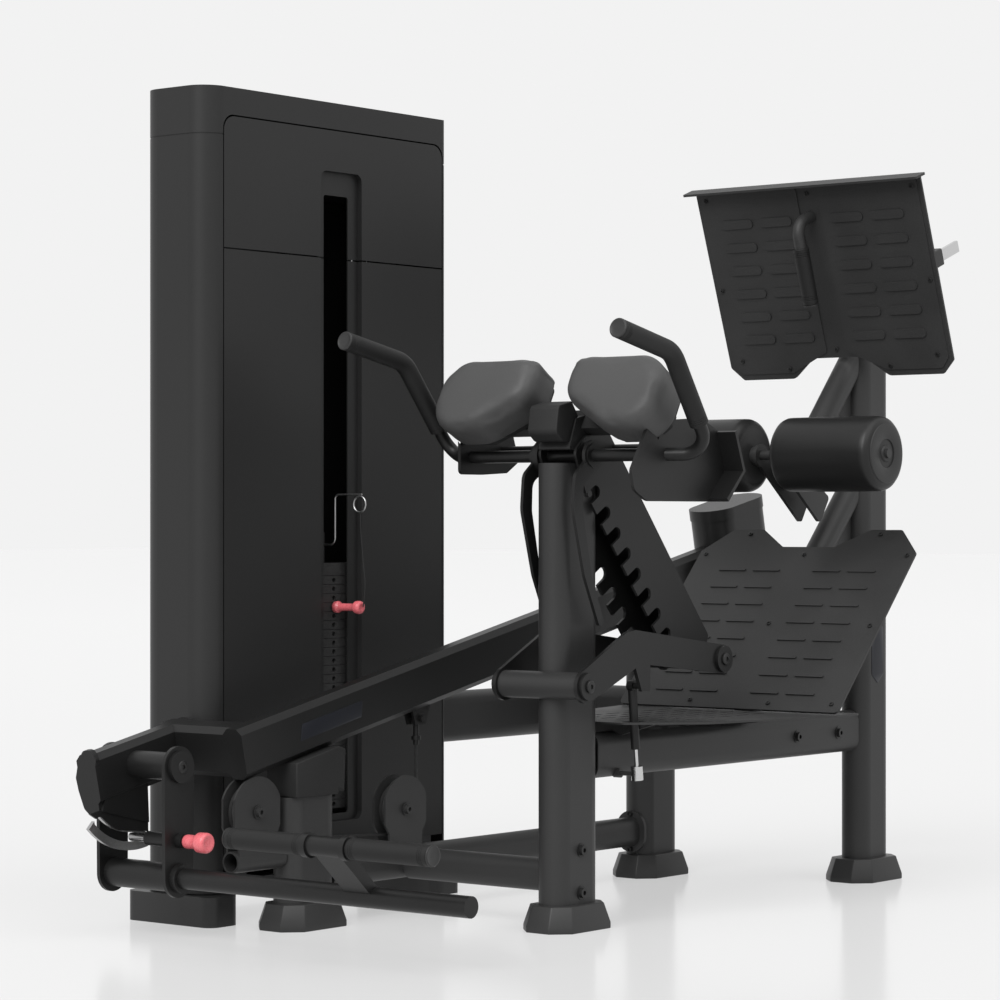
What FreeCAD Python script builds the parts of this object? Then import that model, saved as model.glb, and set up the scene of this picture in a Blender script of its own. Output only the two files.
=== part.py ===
import FreeCAD, Part
import math
import os

from FreeCAD import Vector

# Hip extension machine with a weight tower, a swinging lever and adjustable hip pads.
# Millimetres. The origin is on the floor under the middle of the front post. +X runs from
# the head end to the foot end, +Y from the user towards the weight tower and +Z is up.

# Driving sizes of the frame
post_long = 140.0
post_wide = 70.0
post_wall = 4.0
front_post_height = 922.0
rear_post_x = 1101.0
rear_post_long = 124.0
rear_post_height = 1300.0
stop_post_x = -304.0
stop_post_height = 262.0
pivot_post_x = 875.0
lever_y = 430.0
pivot_z = 649.0
foot_long = 192.0
foot_wide = 124.0
foot_base = 12.0
foot_height = 52.0
foot_chamfer = 34.0

# Driving sizes of the tubes that tie the posts together
rail_z = 339.0
rail_long = 92.0
rail_wide = 50.0
base_tube_z = 104.0
base_tube_long = 66.0
base_tube_wide = 50.0
stop_tube_z = 145.0
stop_tube_r = 21.5
flange_thick = 8.0
flange_over = 14.0
bolt_head_r = 10.0
bolt_head_high = 9.0
bolt_socket_r = 4.5
cut_over = 5.0

# Driving sizes of the weight tower
tower_left_x = -426.0
tower_right_x = 324.0
tower_front_y = 579.0
tower_back_y = 765.0
tower_bottom_z = 62.0
tower_top_z = 1680.0
panel_top_drop = 58.0
recess_top_drop = 140.0
slot_top_drop = 192.0
head_beam_drop = 180.0
panel_split_drop = 324.0
tower_corner = 50.0
tower_sharp_corner = 14.0
tower_seam_high = 3.0
tower_seam_deep = 1.2
column_inset = 40.0
column_wide = 40.0
column_back_gap = 17.0
tower_wall = 2.5
tower_cap_high = 98.0
panel_left_x = -374.0
panel_right_x = 308.0
panel_gap = 3.0
panel_thick = 3.0
panel_top_z = tower_top_z - panel_top_drop
panel_top_corner = 30.0
panel_split_z = tower_top_z - panel_split_drop
panel_bottom_z = 128.0
slot_x = -25.0
slot_wide = 76.0
slot_top_z = tower_top_z - slot_top_drop
slot_bottom_z = 196.0
recess_wide = 134.0
recess_top_z = tower_top_z - recess_top_drop
recess_deep = 12.0

# Driving sizes of the weight stack
stack_x = -15.0
stack_y = 650.0
plate_count = 26
plate_high = 18.0
plate_gap = 0.8
plate_long = 300.0
plate_deep = 90.0
stack_floor_z = 205.0
lifted_count = 4
guide_rod_r = 12.5
guide_rod_out = 110.0
rod_clearance = 0.08
selector_r = 5.0
selector_clearance = 0.09
head_high = 26.0

# Driving sizes of the lever
beam_high = 101.0
beam_wide = 50.0
beam_bevel = 12.0
beam_front_x = -500.0
beam_rear_x = 1097.0
beam_wall = 5.0
beam_slope = math.radians(12.1)
arm_y = 612.0
nose_x = -716.0
pivot_pin_r = 16.0
pivot_clearance = 0.08
handle_pivot_x = -611.0
handle_pivot_z = 335.0

# Driving sizes of the handle frame
drop = 214.0
bar_r = 20.0
bar_end_y = -254.0
grip_r = 20.0
grip_forward = 97.0
grip_up = 99.0
grip_reach = 248.0

# Driving sizes of the pad adjuster
arm_pivot_x = -73.0
arm_pivot_z = 486.0
arm_end_x = 389.0
arm_end_z = 524.0
arm_plate_y = 97.0
arm_plate_thick = 8.0
cross_tube_up = 15.0
cross_tube_z = front_post_height + cross_tube_up
cross_tube_r = 12.5
strut_top_x = 119.0
strut_top_up = 17.0
strut_top_z = front_post_height + strut_top_up
strut_low_x = 424.0
strut_low_z = 574.0
strut_wide = 70.0
strut_thick = 34.0
rack_thick = 6.0
rack_y = 41.0
rack_pitch = 53.6
rack_notches = 8
notch_first_x = 13.0
notch_first_drop = 73.0
notch_first_z = front_post_height - notch_first_drop

# Driving sizes of the foot plates and the ankle rollers
low_plate_x = 551.0
low_plate_z = 412.0
low_plate_slope = math.radians(46.5)
low_plate_half = 280.0
low_plate_side = 453.0
low_plate_top = 519.0
plate_thick = 5.0
high_plate_front = 91.0
high_plate_drop = 171.0
high_plate_x = rear_post_x - high_plate_front
high_plate_z = rear_post_height - high_plate_drop
high_plate_lean = math.radians(20.1)
high_plate_half = 292.0
high_plate_side = 450.0
roller_front = 379.0
roller_drop = 350.0
roller_x = rear_post_x - roller_front
roller_z = rear_post_height - roller_drop
roller_r = 80.0
roller_inner_y = 42.0
roller_outer_y = 292.0

# Driving sizes of the hip pads
pad_x = -40.0
pad_y = 160.0
pad_up_by = 126.0
pad_z = front_post_height + pad_up_by
pad_lean = math.radians(28.0)
pad_thick = 90.0
pad_high = 160.0
pad_half = 116.0

os.makedirs("parts", exist_ok=True)


def placed(points, size, x, z):
    """Points of an outline, given as shares of one size from a middle at x and z."""
    return [(x + along * size, z + up * size) for along, up in points]


def shares(values, size):
    """Shares of one size, as lengths."""
    return [value * size for value in values]


def write(name, *shapes):
    """Write one node, made of one solid or of a group of separate solids."""
    solids = []
    for shape in shapes:
        solids.extend(shape.Solids)
    body = solids[0] if len(solids) == 1 else Part.makeCompound(solids)
    body.exportStep("parts/" + name + ".step")
    print(name, len(solids), round(body.Volume))


def bar(start, end, radius):
    """A round bar between two points."""
    way = end - start
    return Part.makeCylinder(radius, way.Length, start, way)


def ring(start, end, outer, inner):
    """A round tube between two points."""
    way = end - start
    way.normalize()
    over = way * cut_over
    return bar(start, end, outer).cut(bar(start - over, end + over, inner))


def block(low, high):
    """A box between its lowest and highest corners."""
    size = high - low
    return Part.makeBox(size.x, size.y, size.z, low)


def outline(points, radius, origin, across, up):
    """A closed wire through points in the plane of across and up, its corners rounded."""
    count = len(points)
    edges = []
    last = None
    first = None

    def place(point):
        return origin + across * point.x + up * point.y

    for index in range(count):
        here = Vector(points[index][0], points[index][1], 0)
        before = Vector(points[index - 1][0], points[index - 1][1], 0) - here
        after_point = points[(index + 1) % count]
        after = Vector(after_point[0], after_point[1], 0) - here
        angle = before.getAngle(after)
        size = radius[index] if isinstance(radius, (list, tuple)) else radius
        before.normalize()
        after.normalize()
        if size <= 0 or angle > math.pi * 0.999:
            enter = leave = here
            arc = None
        else:
            back = size / math.tan(angle / 2)
            middle = before + after
            middle.normalize()
            enter = here + before * back
            leave = here + after * back
            centre = here + middle * (size / math.sin(angle / 2))
            arc = Part.Arc(place(enter), place(centre - middle * size), place(leave)).toShape()
        if last is not None and (enter - last).Length > 1e-6:
            edges.append(Part.LineSegment(place(last), place(enter)).toShape())
        if arc is not None:
            edges.append(arc)
        if first is None:
            first = enter
        last = leave
    if (first - last).Length > 1e-6:
        edges.append(Part.LineSegment(place(last), place(first)).toShape())
    return Part.Wire(edges)


def slab(points, radius, origin, across, up, thick):
    """A flat piece cut to an outline, with its thickness along across x up."""
    face = Part.Face(outline(points, radius, origin, across, up))
    return face.extrude(across.cross(up) * thick)


def oval(long, wide):
    """The corner points and corner radius of a flat oval section."""
    points = [(-long / 2, -wide / 2), (long / 2, -wide / 2), (long / 2, wide / 2), (-long / 2, wide / 2)]
    return points, wide / 2


def oval_bar(start, end, side, long, wide, wall=0):
    """A flat oval tube between two points, its long side along side."""
    way = end - start
    length = way.Length
    way.normalize()
    other = way.cross(side)
    other.normalize()
    points, radius = oval(long, wide)
    solid = Part.Face(outline(points, radius, start, side, other)).extrude(way * length)
    if wall > 0:
        points, radius = oval(long - wall * 2, wide - wall * 2)
        inside = Part.Face(outline(points, radius, start - way * cut_over, side, other))
        solid = solid.cut(inside.extrude(way * (length + cut_over * 2)))
    return solid


def socket_bolt(seat, way, radius=bolt_head_r, high=bolt_head_high, socket=bolt_socket_r):
    """The washer and socket head of a bolt that stands on a seat."""
    way = Vector(way)
    way.normalize()
    washer_high = high * 0.2
    washer = bar(seat, seat + way * washer_high, radius * 1.35)
    head = bar(seat + way * washer_high, seat + way * high, radius)
    well = bar(seat + way * (high * 0.5), seat + way * (high + cut_over), socket)
    return washer.fuse(head).cut(well).removeSplitter()


def tube_path(points, radii, radius, wall=0):
    """A round tube along straight runs joined by tangent arcs."""
    edges = []
    last = points[0]
    for index in range(1, len(points) - 1):
        here = points[index]
        before = points[index - 1] - here
        after = points[index + 1] - here
        angle = before.getAngle(after)
        before.normalize()
        after.normalize()
        back = radii[index - 1] / math.tan(angle / 2)
        middle = before + after
        middle.normalize()
        enter = here + before * back
        leave = here + after * back
        centre = here + middle * (radii[index - 1] / math.sin(angle / 2))
        edges.append(Part.LineSegment(last, enter).toShape())
        edges.append(Part.Arc(enter, centre - middle * radii[index - 1], leave).toShape())
        last = leave
    edges.append(Part.LineSegment(last, points[-1]).toShape())
    path = Part.Wire(edges)
    way = points[1] - points[0]
    circle = Part.Wire(Part.makeCircle(radius, points[0], way))
    solid = path.makePipeShell([circle], True, True)
    if wall > 0:
        hole = Part.Wire(Part.makeCircle(radius - wall, points[0], way))
        solid = solid.cut(path.makePipeShell([hole], True, True))
    return solid


X = Vector(1, 0, 0)
Y = Vector(0, 1, 0)
Z = Vector(0, 0, 1)


# Posts: flat oval steel tubes standing on chamfered feet
def post(x, y, low, high, long=post_long):
    """An upright flat oval tube."""
    return oval_bar(Vector(x, y, low), Vector(x, y, high), X, long, post_wide, post_wall)


def post_foot(x, y):
    """A cast foot: a chamfered base with sloping sides, socketed on the post."""
    half_long = foot_long / 2
    half_wide = foot_wide / 2

    def octagon(long, wide, cut, z):
        corners = [(-long + cut, -wide), (long - cut, -wide), (long, -wide + cut), (long, wide - cut),
                   (long - cut, wide), (-long + cut, wide), (-long, wide - cut), (-long, -wide + cut)]
        return outline(corners, 0, Vector(x, y, z), X, Y)

    top_share = 0.84
    base = Part.Face(octagon(half_long, half_wide, foot_chamfer, 0)).extrude(Z * foot_base)
    low_wire = octagon(half_long, half_wide, foot_chamfer, foot_base)
    top_wire = octagon(half_long * top_share, half_wide * top_share, foot_chamfer * top_share, foot_height)
    skirt = Part.makeLoft([low_wire, top_wire], True, True)
    return base.fuse(skirt).removeSplitter()


post_places = [(0.0, 0.0), (rear_post_x, 0.0), (stop_post_x, lever_y), (pivot_post_x, lever_y)]
write("post_feet", *[post_foot(x, y) for x, y in post_places])

post_cap = 6.0
front_post = post(0, 0, foot_height, front_post_height)
front_cap = oval_bar(Vector(0, 0, front_post_height - post_cap), Vector(0, 0, front_post_height), X,
                     post_long, post_wide)
front_post = front_post.fuse(front_cap).removeSplitter()
rear_post = post(rear_post_x, 0, foot_height, rear_post_height, rear_post_long)
stop_post = post(stop_post_x, lever_y, foot_height, stop_post_height)
yoke_stand = 38.0
pivot_post_top = pivot_z - beam_high / 2 / math.cos(beam_slope) - yoke_stand
pivot_post = post(pivot_post_x, lever_y, foot_height, pivot_post_top)
write("rear_post", rear_post)


# Frame tubes: the lower rail between the posts, the base tubes and the deck tube
def end_flange(seat, way, side, long, wide):
    """A flat oval welding flange at the end of a tube."""
    return oval_bar(seat, seat + way * flange_thick, side, long + flange_over * 2, wide + flange_over * 2)


half_post = post_long / 2
rail_start = Vector(half_post, 0, rail_z)
rear_face_x = rear_post_x - rear_post_long / 2
rail_end = Vector(rear_face_x, 0, rail_z)
side_rail = oval_bar(rail_start, rail_end, Z, rail_long, rail_wide, post_wall)

cross_start = Vector(0, post_wide / 2 + flange_thick, base_tube_z)
cross_end = Vector(0, lever_y - base_tube_wide / 2, base_tube_z)
base_cross_tube = oval_bar(cross_start, cross_end, Z, base_tube_long, base_tube_wide, post_wall)
cross_flange = end_flange(Vector(0, post_wide / 2, base_tube_z), Y, Z, base_tube_long, base_tube_wide)
base_cross_tube = base_cross_tube.fuse(cross_flange)

long_start = Vector(stop_post_x + half_post, lever_y, base_tube_z)
long_end = Vector(pivot_post_x - half_post - flange_thick, lever_y, base_tube_z)
base_long_tube = oval_bar(long_start, long_end, Z, base_tube_long, base_tube_wide, post_wall)
long_flange = end_flange(long_end, X, Z, base_tube_long, base_tube_wide)
base_long_tube = base_long_tube.fuse(long_flange)

head_block_x = -512.0
stop_tube_end = Vector(head_block_x, lever_y, stop_tube_z)
stop_tube = ring(Vector(stop_post_x - half_post, lever_y, stop_tube_z), stop_tube_end,
                 stop_tube_r, stop_tube_r - post_wall)
write("base_tubes", base_cross_tube, base_long_tube, stop_tube)

deck_tube_z = 373.0
deck_tube_y = 672.0
deck_tube_long = 112.0
deck_tube_wide = 56.0
deck_corner = Vector(pivot_post_x, deck_tube_y, deck_tube_z)
deck_start_x = tower_right_x - column_inset + column_wide / 2


def deck_run(shrink, over):
    """The cranked run of the deck tube, drawn in by shrink and lengthened by over."""
    long = deck_tube_long - shrink * 2
    wide = deck_tube_wide - shrink * 2
    run = oval_bar(Vector(deck_start_x - over, deck_tube_y, deck_tube_z),
                   deck_corner + X * (wide / 2), Z, long, wide)
    leg = oval_bar(deck_corner, Vector(pivot_post_x, lever_y + post_wide / 2 - over, deck_tube_z), Z, long,
                   wide)
    return run.fuse(leg)


deck_tube = deck_run(0, 0).cut(deck_run(post_wall, cut_over)).removeSplitter()

tie_r = 22.0
tie_z = 330.0
pivot_tie = bar(Vector(pivot_post_x, lever_y - post_wide / 2, tie_z), Vector(pivot_post_x, 0, tie_z), tie_r)
pivot_tie = pivot_tie.cut(oval_bar(rail_start, rail_end, Z, rail_long, rail_wide))
write("deck_tubes", deck_tube, pivot_tie)

# Rear braces: two sloping tubes and their gussets in front of the rear post
brace_long = 62.0
brace_wide = 50.0
brace_drop = 145.0
brace_top = Vector(rear_face_x, 0, rear_post_height - brace_drop)
brace_way = Vector(-0.672, 0, -0.741)
brace_length = 352.0
seat_gap = 0.3
brace_under = 37.0


def brace(top, low):
    """A sloping tube, trimmed flush with the front face of the rear post."""
    way = top - low
    way.normalize()
    side = way.cross(Y)
    tube = oval_bar(low, top + way * brace_long, side, brace_long, brace_wide)
    over = brace_long * 3
    beyond = block(Vector(rear_face_x, -brace_wide, top.z - over),
                   Vector(rear_face_x + over, brace_wide, top.z + over))
    return tube.cut(beyond)


gusset_thick = 8.0
gusset_drop = 190.0
gusset_run = 88.0
gusset_top_drop = 44.0


def gusset(top):
    """A triangular web between a brace and the post below it."""
    start_z = top.z - gusset_top_drop
    points = [(top.x, start_z), (top.x, start_z - gusset_drop),
              (top.x - gusset_run, start_z - gusset_run * 1.1)]
    web = slab(points, 0, Vector(0, gusset_thick / 2, 0), X, Z, gusset_thick)
    return web


high_brace = brace(brace_top, brace_top + brace_way * brace_length)
high_brace = high_brace.fuse(gusset(brace_top)).removeSplitter()

# Lower foot plate: a sloping tread plate, notched at its top, on a deck that starts at the post
slope_up = Vector(math.cos(low_plate_slope), 0, math.sin(low_plate_slope))
low_plate_origin = Vector(low_plate_x, 0, low_plate_z)
low_back = Vector(math.sin(low_plate_slope), 0, -math.cos(low_plate_slope))
brace_foot_s = 62.0
low_brace_low = low_plate_origin + low_back * brace_under + slope_up * brace_foot_s
low_brace_top = low_brace_low + slope_up * ((rear_face_x - low_brace_low.x) / slope_up.x)
low_brace = brace(low_brace_top, low_brace_low).fuse(gusset(low_brace_top)).removeSplitter()
write("rear_braces", high_brace, low_brace)
side_cut_share = 0.782
notch_out_share = 0.5
notch_in_share = 0.24
notch_depth = 52.0
tread_corner = 12.0
low_half = low_plate_half
low_shape = [(-low_half, 0), (low_half, 0), (low_half, low_plate_side),
             (low_half * side_cut_share, low_plate_top), (low_half * notch_out_share, low_plate_top),
             (low_half * notch_in_share, low_plate_top - notch_depth),
             (-low_half * notch_in_share, low_plate_top - notch_depth),
             (-low_half * notch_out_share, low_plate_top), (-low_half * side_cut_share, low_plate_top),
             (-low_half, low_plate_side)]
lower_foot_plate = slab(low_shape, tread_corner, low_plate_origin, Y, slope_up, plate_thick)

# Each louvre is a raised lip pressed out of the tread
louvre_long = 72.0
louvre_high = 3.0
louvre_wide = 7.0
louvre_pitch_y = 90.0
louvre_pitch_s = 50.0
louvre_inner_y = 78.0
low_louvre_rows = 8
low_louvre_start = 46.0
low_normal = Y.cross(slope_up)


def louvre(middle, across, up, out, long, wide, high):
    """One pressed lip: a flat oval bar standing on the plate."""
    points, radius = oval(long, wide)
    face = Part.Face(outline(points, radius, middle, across, up))
    return face.extrude(out * high)


lips = []
for row in range(low_louvre_rows):
    for column in range(2):
        for side in (-1, 1):
            lip_y = side * (louvre_inner_y + column * louvre_pitch_y)
            middle = low_plate_origin + Y * lip_y + slope_up * (low_louvre_start + row * louvre_pitch_s)
            lips.append(louvre(middle, Y, slope_up, low_normal * -1, louvre_long, louvre_wide, louvre_high))
lower_foot_plate = lower_foot_plate.fuse(lips)
write("lower_foot_plate", lower_foot_plate)

deck_thick = 4.0
deck_near_x = 80.0
deck_near_half = 80.0
deck_step_x = 205.0
deck_step_half = 205.0
deck_rear_x = 640.0
deck_shape = [(deck_near_x, -deck_near_half), (deck_step_x, -deck_step_half),
              (low_plate_x, -low_half), (deck_rear_x, -low_half), (deck_rear_x, low_half),
              (low_plate_x, low_half), (deck_step_x, deck_step_half), (deck_near_x, deck_near_half)]
deck = slab(deck_shape, tread_corner, Vector(0, 0, low_plate_z - plate_thick - deck_thick), X, Y, deck_thick)
slot_long = 46.0
slot_width = 9.0
slot_pitch_x = 62.0
slot_pitch_y = 40.0
slot_rows = 3
slot_columns = 6
slot_first_x = 190.0
deck_cuts = []
for row in range(-slot_rows, slot_rows + 1):
    for column in range(slot_columns):
        middle = Vector(slot_first_x + column * slot_pitch_x, row * slot_pitch_y,
                        low_plate_z - plate_thick * 4)
        deck_cuts.append(louvre(middle, X, Y, Z, slot_long, slot_width, plate_thick * 6))
spring_slot_x = 128.0
spring_slot_y = -70.0
spring_slot_long = 62.0
spring_slot_wide = 34.0
deck_cuts.append(louvre(Vector(spring_slot_x, spring_slot_y, low_plate_z - plate_thick * 4), X, Y, Z,
                        spring_slot_long, spring_slot_wide, plate_thick * 6))
write("step_plate", deck.cut(Part.makeCompound(deck_cuts)))

# Bearers that carry the deck and the foot plate on the rail
bearer_thick = 8.0
bearer_xs = [150.0, 520.0]
deck_low_z = low_plate_z - plate_thick - deck_thick
rail_top_z = rail_z + rail_long / 2
bearers = []
for bearer_x in bearer_xs:
    reach = deck_step_half * 0.55 if bearer_x < deck_step_x else low_half * 0.8
    shape = [(-reach, deck_low_z), (-rail_wide / 2, rail_top_z - bearer_thick),
             (rail_wide / 2, rail_top_z - bearer_thick), (reach, deck_low_z)]
    web = slab(shape, 0, Vector(bearer_x - bearer_thick / 2, 0, 0), Y, Z, bearer_thick)
    bearers.append(web.cut(oval_bar(rail_start, rail_end, Z, rail_long, rail_wide)).cut(low_brace))

plate_stay_half = 130.0
stay_thick = 8.0
stay_start = 40.0
stay_depth = 60.0
stays = []
for side in (-1, 1):
    s_low = stay_start
    s_high = low_plate_side
    depth = stay_depth
    back = low_normal
    base_point = low_plate_origin + back * plate_thick
    corners = [base_point + slope_up * s_low, base_point + slope_up * s_high,
               base_point + slope_up * s_high + back * (depth * 0.5),
               base_point + slope_up * (s_low + depth) + back * depth]
    flat = [(corner.x, corner.z) for corner in corners]
    middle_y = side * plate_stay_half + stay_thick / 2
    stays.append(slab(flat, 0, Vector(0, middle_y, 0), X, Z, stay_thick))
stay_link_s = low_plate_side * 0.62
stay_link_back = 30.0
stay_link_r = 14.0
stay_middle = low_plate_origin + low_normal * (plate_thick + stay_link_back) + slope_up * stay_link_s
stay_link_half = Y * (plate_stay_half + stay_thick)
stay_link = bar(stay_middle - stay_link_half, stay_middle + stay_link_half, stay_link_r)
brace_clear = oval_bar(low_brace_low, low_brace_top, low_normal, brace_long + seat_gap * 2,
                       brace_wide + seat_gap * 2)
plate_stays = stays[0].fuse([stays[1], stay_link]).cut(brace_clear)
write("deck_bearers", *bearers, plate_stays)


# Weight tower: two folded side shells, a cap, two front panels, a back panel and two feet
def tower_ring(z_low, z_high, inset):
    """The rounded rectangle of the tower between two heights, drawn in by an inset."""
    points = [(tower_left_x + inset, tower_front_y + inset), (tower_right_x - inset, tower_front_y + inset),
              (tower_right_x - inset, tower_back_y - inset), (tower_left_x + inset, tower_back_y - inset)]
    corner = tower_corner - inset
    sharp = tower_sharp_corner - inset
    wire = outline(points, [corner, sharp, corner, corner], Vector(0, 0, z_low), X, Y)
    return Part.Face(wire).extrude(Z * (z_high - z_low))


shell_top_z = tower_top_z - tower_cap_high
tower_foot_high = 60.0
shell_low_z = tower_bottom_z
shell_wall = tower_ring(shell_low_z, shell_top_z, 0).cut(tower_ring(shell_low_z, shell_top_z, tower_wall))
back_right_x = tower_right_x - tower_corner - tower_wall
inner_front_y = tower_front_y + tower_corner * 0.5


def tower_slab(low_x, high_x, low_y, high_y):
    """A tall block that picks part of the tower's wall."""
    return block(Vector(low_x, low_y, shell_low_z), Vector(high_x, high_y, shell_top_z))


far = tower_corner * 2
left_pick = tower_slab(tower_left_x - far, panel_left_x - panel_gap, tower_front_y - far, tower_back_y + far)
right_pick = tower_slab(panel_right_x + panel_gap, tower_right_x + far, tower_front_y - far,
                        tower_back_y + far)
right_back_pick = tower_slab(back_right_x, tower_right_x + far, inner_front_y, tower_back_y + far)
deck_opening = oval_bar(Vector(tower_right_x - far, deck_tube_y, deck_tube_z),
                        Vector(tower_right_x + far, deck_tube_y, deck_tube_z), Z,
                        deck_tube_long + panel_gap * 2, deck_tube_wide + panel_gap * 2)
right_shell = shell_wall.common(right_pick.fuse(right_back_pick)).cut(deck_opening)
left_shell = shell_wall.common(left_pick)

cap_outer = tower_ring(shell_top_z, tower_top_z, 0)
cap_inner = tower_ring(shell_top_z - cut_over, tower_top_z - tower_wall, tower_wall)
cap_seam_top = shell_top_z + tower_seam_high
cap_seam = tower_ring(shell_top_z, cap_seam_top, 0).cut(tower_ring(shell_top_z, cap_seam_top,
                                                                   tower_seam_deep))
cap = cap_outer.cut(cap_inner).cut(cap_seam)
panel_corners = [(panel_left_x, panel_bottom_z), (panel_right_x, panel_bottom_z),
                 (panel_right_x, panel_top_z), (panel_left_x, panel_top_z)]
grow = panel_gap
grown = [(panel_left_x - grow, panel_bottom_z - grow), (panel_right_x + grow, panel_bottom_z - grow),
         (panel_right_x + grow, panel_top_z + grow), (panel_left_x - grow, panel_top_z + grow)]
panel_radii = [panel_gap, panel_gap, panel_top_corner, panel_top_corner]
panel_window = slab(grown, panel_radii, Vector(0, tower_front_y + tower_corner, 0), X, Z, tower_corner * 2)
write("tower_cap", cap.cut(panel_window))

# The front panels are flat sheets, dished by the recess that runs round the pin slot
panel_face_y = tower_front_y + panel_thick
panel_sheet = slab(panel_corners, panel_radii, Vector(0, panel_face_y, 0), X, Z, panel_thick)
recess_margin = 24.0
recess_under = 18.0
recess_left_x = slot_x - slot_wide / 2 - recess_margin
recess_right_x = recess_left_x + recess_wide
recess_low_z = slot_bottom_z - recess_under
recess_points = [(recess_left_x, recess_low_z), (recess_right_x, recess_low_z),
                 (recess_right_x, recess_top_z), (recess_left_x, recess_top_z)]
recess_corner = 20.0
inner_points = [(recess_left_x + panel_thick, recess_low_z + panel_thick),
                (recess_right_x - panel_thick, recess_low_z + panel_thick),
                (recess_right_x - panel_thick, recess_top_z - panel_thick),
                (recess_left_x + panel_thick, recess_top_z - panel_thick)]
tray = slab(recess_points, recess_corner, Vector(0, panel_face_y + recess_deep, 0), X, Z,
            panel_thick + recess_deep)
tray_hollow = slab(inner_points, recess_corner - panel_thick, Vector(0, tower_front_y + recess_deep, 0),
                   X, Z, recess_deep + cut_over)
slot_points = [(slot_x - slot_wide / 2, slot_bottom_z), (slot_x + slot_wide / 2, slot_bottom_z),
               (slot_x + slot_wide / 2, slot_top_z), (slot_x - slot_wide / 2, slot_top_z)]
slot_corner = 6.0
slot_tool = slab(slot_points, slot_corner, Vector(0, tower_front_y + tower_corner, 0), X, Z,
                 tower_corner * 2)
front_sheet = panel_sheet.fuse(tray).cut(tray_hollow).cut(slot_tool).removeSplitter()
split_half = panel_gap / 2
split_low = block(Vector(tower_left_x, tower_front_y - far, 0),
                  Vector(tower_right_x, tower_back_y, panel_split_z - split_half))
split_high = block(Vector(tower_left_x, tower_front_y - far, panel_split_z + split_half),
                   Vector(tower_right_x, tower_back_y, tower_top_z))
write("tower_front_panels", front_sheet.common(split_low), front_sheet.common(split_high))

back_sheet = block(Vector(panel_left_x, tower_back_y - tower_wall, shell_low_z),
                   Vector(back_right_x - panel_gap, tower_back_y, shell_top_z))
write("tower_shells", left_shell, right_shell, back_sheet)

# Inner frame of the tower: feet, base plate, posts, head beam and the rods the stack runs on
tower_foot_wide = 86.0
tower_foot_front_y = 549.0
tower_foot_rear_y = 790.0
tower_foot_corner = 24.0
foot_middles = [tower_left_x + tower_foot_wide * 0.3, tower_right_x - tower_foot_wide * 0.3]
tower_feet = []
for middle_x in foot_middles:
    half = tower_foot_wide / 2
    shape = [(middle_x - half, tower_foot_front_y), (middle_x + half, tower_foot_front_y),
             (middle_x + half, tower_foot_rear_y), (middle_x - half, tower_foot_rear_y)]
    tower_feet.append(slab(shape, tower_foot_corner, Vector(0, 0, 0), X, Y, tower_foot_high))

base_plate_high = 20.0
column_y = tower_back_y - column_back_gap - column_wide
column_left_x = tower_left_x + column_inset
column_right_x = tower_right_x - column_inset
sill = block(Vector(column_left_x - column_wide / 2, tower_front_y + column_inset, tower_foot_high),
             Vector(column_right_x + column_wide / 2, column_y + column_wide,
                    tower_foot_high + base_plate_high))
sill_top = tower_foot_high + base_plate_high
beam_low_z = tower_top_z - head_beam_drop
columns = []
for column_x in (column_left_x, column_right_x):
    columns.append(block(Vector(column_x - column_wide / 2, column_y, sill_top),
                         Vector(column_x + column_wide / 2, column_y + column_wide,
                                beam_low_z + column_wide)))
rod_front_y = stack_y
head_beam = block(Vector(column_left_x, rod_front_y - column_wide, beam_low_z),
                  Vector(column_right_x, column_y + column_wide, beam_low_z + column_wide))
bed_low = stack_floor_z - base_plate_high
stack_bed = block(Vector(stack_x - plate_long / 2, stack_y - plate_deep / 2, sill_top),
                  Vector(stack_x + plate_long / 2, stack_y + plate_deep / 2, bed_low))
deck_upright = block(Vector(column_right_x - column_wide / 2, deck_tube_y - deck_tube_wide / 2, sill_top),
                     Vector(column_right_x + column_wide / 2, column_y, deck_tube_z + deck_tube_long))
tab_high = 30.0
tab_deep = 18.0
tab_wide = 34.0
tabs = []
for tab_z in (sill_top, (sill_top + beam_low_z) / 2, beam_low_z - tab_high):
    tabs.append(block(Vector(tower_left_x + tower_wall, column_y - tab_deep, tab_z),
                      Vector(column_left_x, column_y + tower_wall, tab_z + tab_high)))
    tabs.append(block(Vector(column_right_x, column_y - tab_deep, tab_z),
                      Vector(tower_right_x - tower_wall, column_y + tower_wall, tab_z + tab_high)))
for rail_low_z, rail_high_z in ((tower_foot_high, sill_top), (beam_low_z, beam_low_z + column_wide)):
    tabs.append(block(Vector(column_left_x + column_wide, column_y, rail_low_z),
                      Vector(column_right_x - column_wide, tower_back_y - tower_wall, rail_high_z)))
for bracket_x in (panel_left_x + tab_wide, panel_right_x - tab_wide * 2):
    tabs.append(block(Vector(bracket_x, tower_front_y + panel_thick, tower_foot_high),
                      Vector(bracket_x + tab_wide, tower_front_y + column_inset + tower_wall,
                             panel_bottom_z + tab_high)))
    tabs.append(block(Vector(bracket_x, tower_front_y + panel_thick, beam_low_z),
                      Vector(bracket_x + tab_wide, rod_front_y - column_wide + tower_wall,
                             beam_low_z + column_wide)))
rod_xs = [stack_x - guide_rod_out, stack_x + guide_rod_out]
rods = []
for rod_x in rod_xs:
    rods.append(bar(Vector(rod_x, stack_y, bed_low), Vector(rod_x, stack_y, beam_low_z), guide_rod_r))
rope_hole_r = 9.0
pulley_r = 52.0
rope_r = 3.0
wrap_r = pulley_r + rope_r * 0.4
top_pulley_x = stack_x + wrap_r
pulley_stand = 8.0
top_pulley_z = beam_low_z + column_wide + pulley_r + pulley_stand
head_beam = head_beam.cut(bar(Vector(stack_x, stack_y, beam_low_z - cut_over),
                              Vector(stack_x, stack_y, beam_low_z + column_wide + cut_over), rope_hole_r))
cheek_gap = 13.0
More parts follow.
